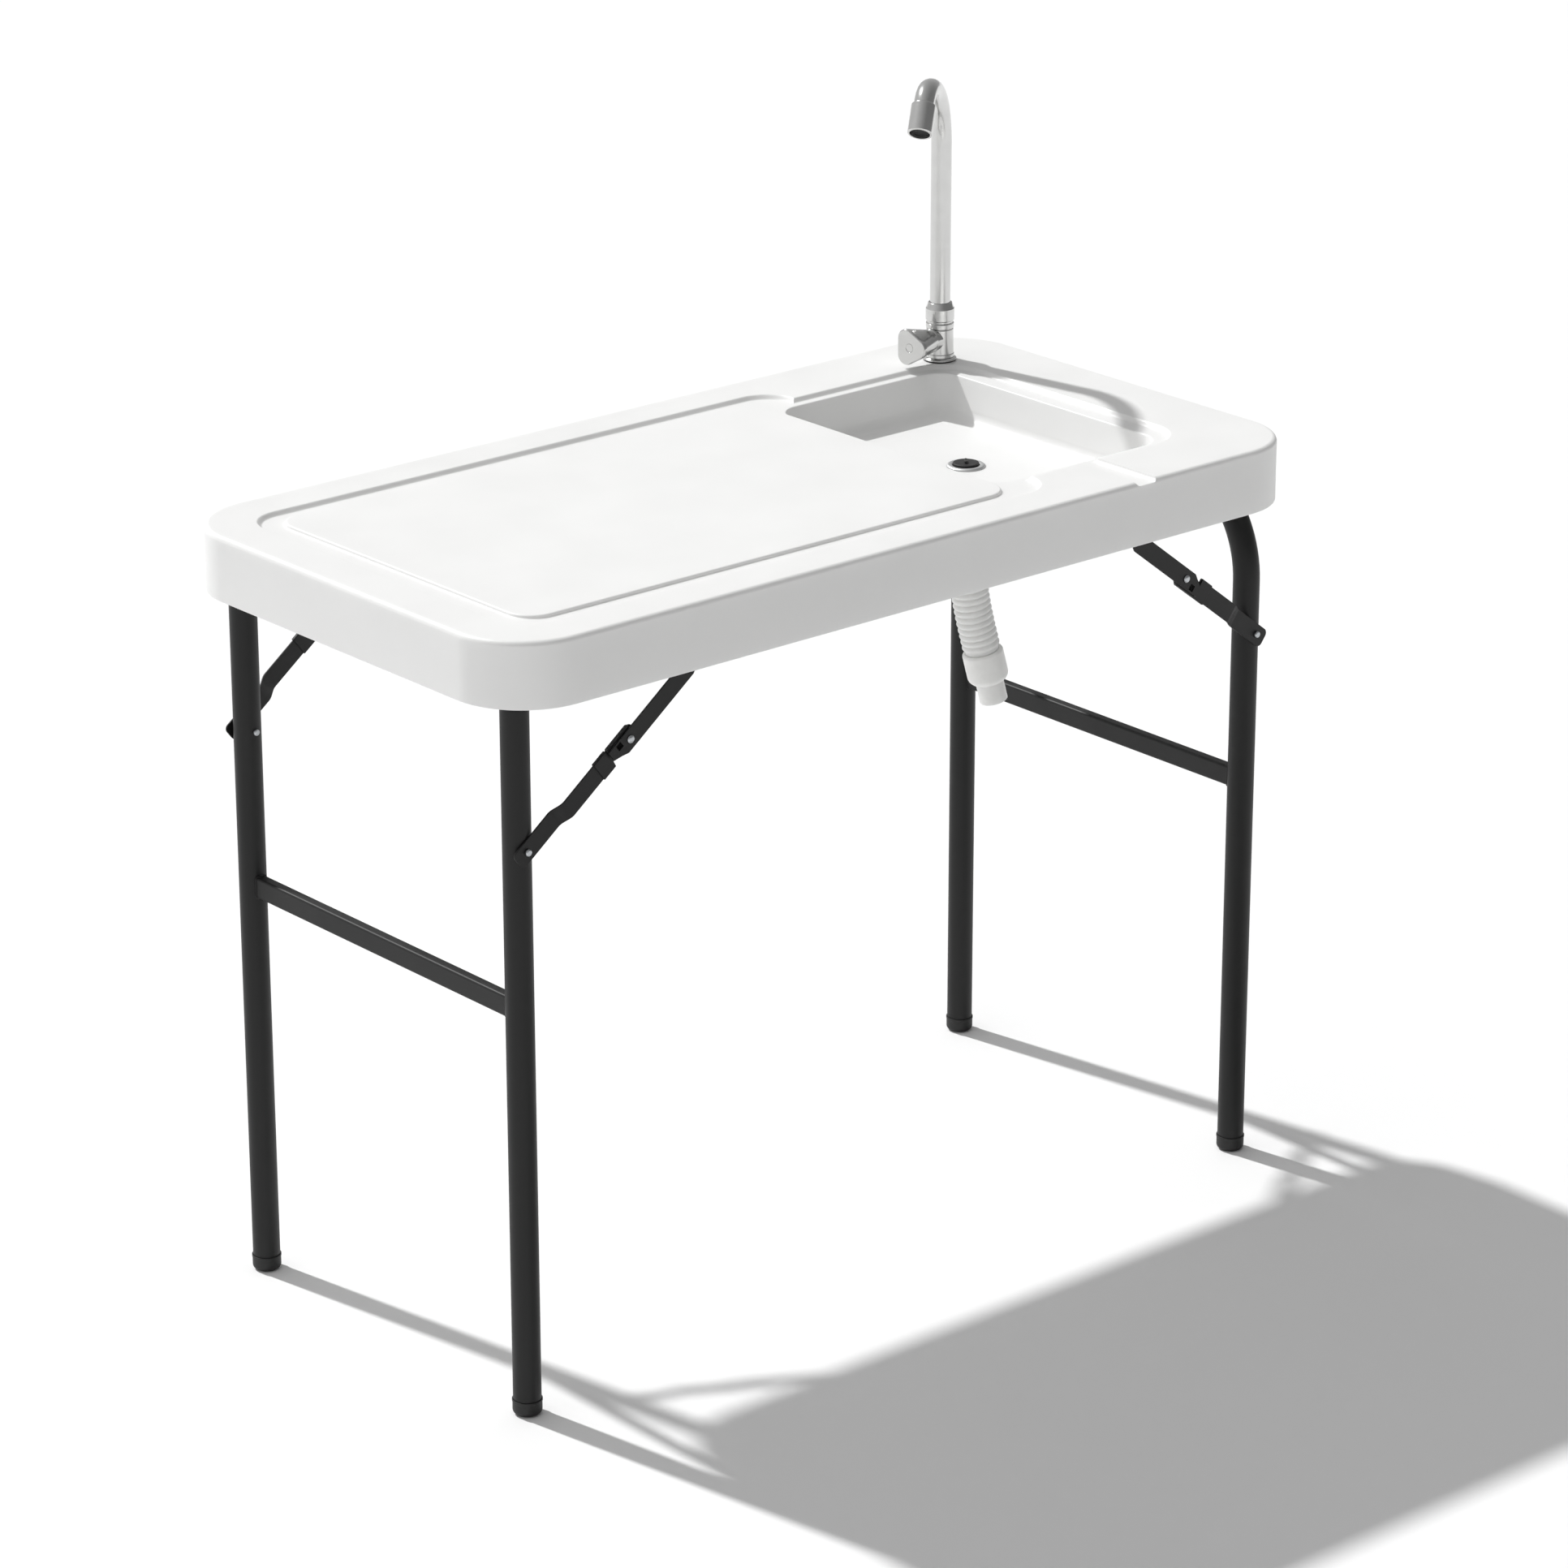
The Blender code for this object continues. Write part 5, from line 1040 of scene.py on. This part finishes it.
class FISHTABLE_OT_tap(bpy.types.Operator):
    """Makes the tap's gasket, flange, body and collar nut, and finishes its washer and lock nut."""
    bl_idname = "fishtable.tap"
    bl_label = "Tap body"

    def execute(self, context):
        tap = context.scene.fish_table_tap
        origin = (tap.x, tap.y, context.scene.fish_table_top.rim)
        hole, f, r = TAP_HOLE, tap.flange, tap.body
        gasket = soften_loop([(hole, GAP), (f - 0.0006, GAP), (f - 0.0006, 0.0013), (hole, 0.0013)], 0.0003)
        flange = soften_loop([(hole, 0.0016), (f, 0.0016), (f, 0.0030), (f - 0.0012, 0.0037),
                              (r + 0.0014, 0.0042), (r + 0.0008, 0.0046), (hole, 0.0046)], 0.0006)
        g, low, k = 0.0150, 0.0049, 0.01665
        body = soften_loop([(0.006, -0.027), (0.0095, -0.027), (0.0105, -0.026), (0.0105, low),
                            (r + 0.0006, low), (r + 0.0006, 0.0088), (r, 0.0094), (r - 0.0004, 0.0388),
                            (g, 0.0396), (g, 0.0400), (k, 0.0404), (k, 0.0460), (g, 0.0466), (g, 0.0490),
                            (0.006, 0.0490)], 0.0005)
        s, c = tap.spout + GAP, tap.collar
        collar = soften_loop([(s, 0.0495), (c - 0.0006, 0.0495), (c, 0.0501), (c, 0.0639),
                              (c - 0.0008, 0.0647), (s + 0.0018, 0.0708), (s, 0.0714)], 0.0006)
        for name, line, surface, cad_node in (
                ("tap_seal", gasket, "rubber", "tap_gasket"),
                ("tap_base_plate", flange, "nickel", "tap_flange"),
                ("tap_column", body, "nickel", "tap_body"),
                ("tap_swivel_collar", collar, "nickel", "tap_collar_nut")):
            piece(name, turned_skin(line, origin, loop=True, steps=96), surface, "tabletop", cad_node, 30)
        for cad_node in ("tap_washer", "tap_lock_nut"):
            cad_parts[cad_node].material_slots[0].material = finish("zinc")
        return {"FINISHED"}


class FISHTABLE_OT_spout(bpy.types.Operator):
    """Makes the swivel spout, the sleeve on its tip and the aerator."""
    bl_idname = "fishtable.spout"
    bl_label = "Spout"

    def execute(self, context):
        tap = context.scene.fish_table_tap
        origin = np.array((tap.x, tap.y, context.scene.fish_table_top.rim))
        heading = toward(tap.heading)
        arch = self.bend(tap.rise * Z_AXIS, heading, np.linspace(0, tap.turn, 49), tap.radius)
        end = self.bend(arch[-1], heading, np.linspace(tap.turn, tap.end_turn, 31), tap.end_radius)
        onward = math.sin(tap.end_turn) * heading + math.cos(tap.end_turn) * Z_AXIS
        mouth = end[-1] + tap.tip * onward
        path = np.concatenate(([0.0498 * Z_AXIS, 0.15 * Z_AXIS], arch, end[1:], [mouth - 0.0103 * onward]))
        side = np.cross(Z_AXIS, heading)
        points, own = pipe(path + origin, tap.spout, tap.spout - tap.spout_wall, side, 64)
        piece("spout_gooseneck", skin(points, own, True), "nickel_long", "spout", "tap_spout", 50)
        back = -onward
        lay = (side, np.cross(back, side), back)
        m, t, n = tap.spout - GAP, tap.tip_radius, tap.tip_length
        sleeve = soften_loop([(m, 0), (t - 0.0010, 0), (t, 0.0010), (t, n - 0.0016), (t - 0.0014, n),
                              (tap.spout + GAP, n), (tap.spout + GAP, 0.010), (m, 0.010)], 0.0006)
        mesh = turned_skin(sleeve, mouth + origin, *lay, loop=True, steps=72)
        piece("spout_sleeve", mesh, "nickel", "spout", "spout_tip", 30)
        q = m - GAP
        screen = soften([(0, 0.0046), (0.0012, 0.0050), (0.0024, 0.0046), (0.0036, 0.0050), (0.0048, 0.0046),
                         (0.0060, 0.0050), (0.0072, 0.0046), (0.0084, 0.0050), (q - 0.0018, 0.0047),
                         (q - 0.0014, 0.0040), (q, 0.0040), (q, 0.0085), (0, 0.0085)], 0.0003)
        piece("spout_screen", turned_skin(screen, mouth + origin, *lay), "rubber", "spout", "spout_aerator")
        return {"FINISHED"}

    def bend(self, start, heading, turn, radius):
        """start + radius ((cos a0 - cos a) heading + (sin a - sin a0) up), where a turns off straight up."""
        away = (np.cos(turn[0]) - np.cos(turn))[:, None] * heading
        return start + radius * (away + (np.sin(turn) - np.sin(turn[0]))[:, None] * Z_AXIS)


def three_lobes(circumradius, corner, each=24):
    """A triangle with round corners: three arcs of 120 degrees whose centres lie a corner radius inside."""
    middle = np.repeat(np.arange(3) * 2 * np.pi / 3, each)
    turn = middle + np.tile(np.linspace(-np.pi / 3, np.pi / 3, each), 3)
    reach = circumradius - corner
    return np.stack((reach * np.cos(middle) + corner * np.cos(turn),
                     reach * np.sin(middle) + corner * np.sin(turn)), axis=-1)


class FISHTABLE_OT_knob(bpy.types.Operator):
    """Makes the three-cornered knob and the short boss that it turns on."""
    bl_idname = "fishtable.knob"
    bl_label = "Tap knob"

    def execute(self, context):
        tap = context.scene.fish_table_tap
        way = toward(tap.knob_heading)
        lay = (np.cross(Z_AXIS, way), Z_AXIS, way)
        origin = (tap.x, tap.y, context.scene.fish_table_top.rim + tap.knob_level)
        neck, start = KNOB_NECK, KNOB_START
        boss = soften([(0, 0.0), (neck, 0.0), (neck, start - 0.0012), (neck - 0.0008, start - GAP),
                       (0, start - GAP)], 0.0005)
        cutter = placed(turned([(tap.body + 0.0009, -0.03), (tap.body + 0.0009, 0.03)], 64), origin)
        stub = carve(turned_skin(boss, origin, *lay), less(cutter))
        piece("tap_valve_stub", stub, "nickel", "tabletop", "tap_valve_boss", 30)
        grid = self.knob(tap, neck, start)
        mesh = skin(placed(grid, origin, *lay), grid)
        piece("tap_three_lobe_knob", mesh, "nickel", "tap_knob", "tap_knob", 34)
        return {"FINISHED"}

    def knob(self, tap, neck, start):
        """Outlines that pass evenly from a circle to a rounded triangle, then over the rim to the face."""
        corner = 0.012
        flare = tap.knob_reach - 0.004
        share = np.linspace(0, 1, 25)[:, None, None]
        circle, lobes = three_lobes(neck, neck), three_lobes(tap.knob_corner, corner)
        flat = circle + (lobes - circle) * share
        height = start + (flare - start) * np.linspace(0, 1, 25)
        turn = np.linspace(0, np.pi / 2, 7)
        edge = 0.0015
        rim = [three_lobes(tap.knob_corner - edge * (1 - c), corner - edge * (1 - c)) for c in np.cos(turn)]
        rim_height = tap.knob_reach - edge * (1 - np.sin(turn))
        disc = three_lobes(1.0, 1.0)
        face = [disc * radius for radius in (0.0056, 0.0053, 0.0050, 0.0047, 0.0)]
        face_height = tap.knob_reach - np.array((0.0, 0.0004, 0.0005, 0.0002, 0.0001))
        outlines = np.concatenate((flat, np.stack(rim), np.stack(face)))
        heights = np.concatenate((height, rim_height, face_height))
        return grid_of(outlines[..., 0], outlines[..., 1], heights[:, None])


# Stage

class FISHTABLE_OT_stage(bpy.types.Operator):
    """Makes the studio floor, the lights and the camera."""
    bl_idname = "fishtable.stage"
    bl_label = "Stage"

    def execute(self, context):
        studio = context.scene.fish_table_studio
        half = studio.floor_size / 2
        mesh = bpy.data.meshes.new("studio_floor")
        corners = [(-half, -half, 0), (half, -half, 0), (half, half, 0), (-half, half, 0)]
        mesh.from_pydata(corners, [], [(0, 1, 2, 3)])
        mesh.materials.append(finish("floor"))
        floor = bpy.data.objects.new("studio_floor", mesh)
        bpy.context.scene.collection.objects.link(floor)
        sun = bpy.data.lights.new("key_light", "SUN")
        sun.energy = studio.key
        sun.angle = studio.key_size
        key = bpy.data.objects.new("key_light", sun)
        key.rotation_euler = Vector(studio.key_slant).to_track_quat("Z", "Y").to_euler()
        context.scene.collection.objects.link(key)
        world = bpy.data.worlds.new("even_studio_light")
        world.use_nodes = True
        self.fill(world.node_tree, studio)
        context.scene.world = world
        context.scene.view_settings.view_transform = "Standard"
        self.camera(context, studio)
        return {"FINISHED"}

    def fill(self, tree, studio):
        """Even light, brighter at the back left and dimmer on the camera's right."""
        towards = node(tree, "ShaderNodeTexCoord").outputs["Generated"]
        along = node(tree, "ShaderNodeVectorMath", {0: towards, 1: studio.fill_slant},
                     operation="DOT_PRODUCT")
        ends = {"From Min": -0.7, "From Max": 0.7, "To Min": studio.fill * 0.5, "To Max": studio.fill * 1.5}
        strength = node(tree, "ShaderNodeMapRange", {"Value": along.outputs["Value"], **ends})
        tree.links.new(strength.outputs["Result"], tree.nodes["Background"].inputs["Strength"])
        tree.nodes["Background"].inputs["Color"].default_value = (1, 1, 1, 1)

    def camera(self, context, studio):
        """A long lens from the front left, a little above the table."""
        lens = bpy.data.cameras.new("camera")
        lens.lens = studio.lens
        lens.sensor_width = 36
        lens.clip_end = 100
        camera = bpy.data.objects.new("camera", lens)
        place, aim = Vector(studio.camera), Vector(studio.aim)
        turn = (aim - place).to_track_quat("-Z", "Y").to_matrix() @ Matrix.Rotation(studio.roll, 3, "Z")
        camera.matrix_world = Matrix.Translation(place) @ turn.to_4x4()
        context.scene.collection.objects.link(camera)
        context.scene.camera = camera


class FISHTABLE_PT_sidebar(bpy.types.Panel):
    """Lists what makes the table."""
    bl_label = "Fish table"
    bl_idname = "FISHTABLE_PT_sidebar"
    bl_space_type = "VIEW_3D"
    bl_region_type = "UI"
    bl_category = "Fish table"

    def draw(self, context):
        for operator in OPERATORS:
            self.layout.operator(operator.bl_idname)
        for group in GROUPS:
            box = self.layout.box()
            box.label(text=group[5:].replace("_", " "))
            holder = getattr(context.scene, group)
            for name in holder.__annotations__:
                box.prop(holder, name)


GROUPS = {
    "fish_table_top": TopSizes,
    "fish_table_drain": DrainSizes,
    "fish_table_legs": LegSizes,
    "fish_table_brace": BraceSizes,
    "fish_table_tap": TapSizes,
    "fish_table_colours": Colours,
    "fish_table_studio": Studio,
}
OPERATORS = (
    FISHTABLE_OT_stage, FISHTABLE_OT_top, FISHTABLE_OT_rails, FISHTABLE_OT_drain, FISHTABLE_OT_hose,
    FISHTABLE_OT_legs, FISHTABLE_OT_brackets, FISHTABLE_OT_braces, FISHTABLE_OT_tap, FISHTABLE_OT_spout,
    FISHTABLE_OT_knob,
)


def register():
    for made in (*GROUPS.values(), *OPERATORS, FISHTABLE_PT_sidebar):
        bpy.utils.register_class(made)
    for name, group in GROUPS.items():
        setattr(bpy.types.Scene, name, PointerProperty(type=group))


def unregister():
    for name in GROUPS:
        delattr(bpy.types.Scene, name)
    for made in (FISHTABLE_PT_sidebar, *reversed(OPERATORS), *reversed(list(GROUPS.values()))):
        bpy.utils.unregister_class(made)


def main():
    register()
    for operator in OPERATORS:
        family, name = operator.bl_idname.split(".")
        getattr(getattr(bpy.ops, family), name)()


if __name__ == "__main__":
    main()
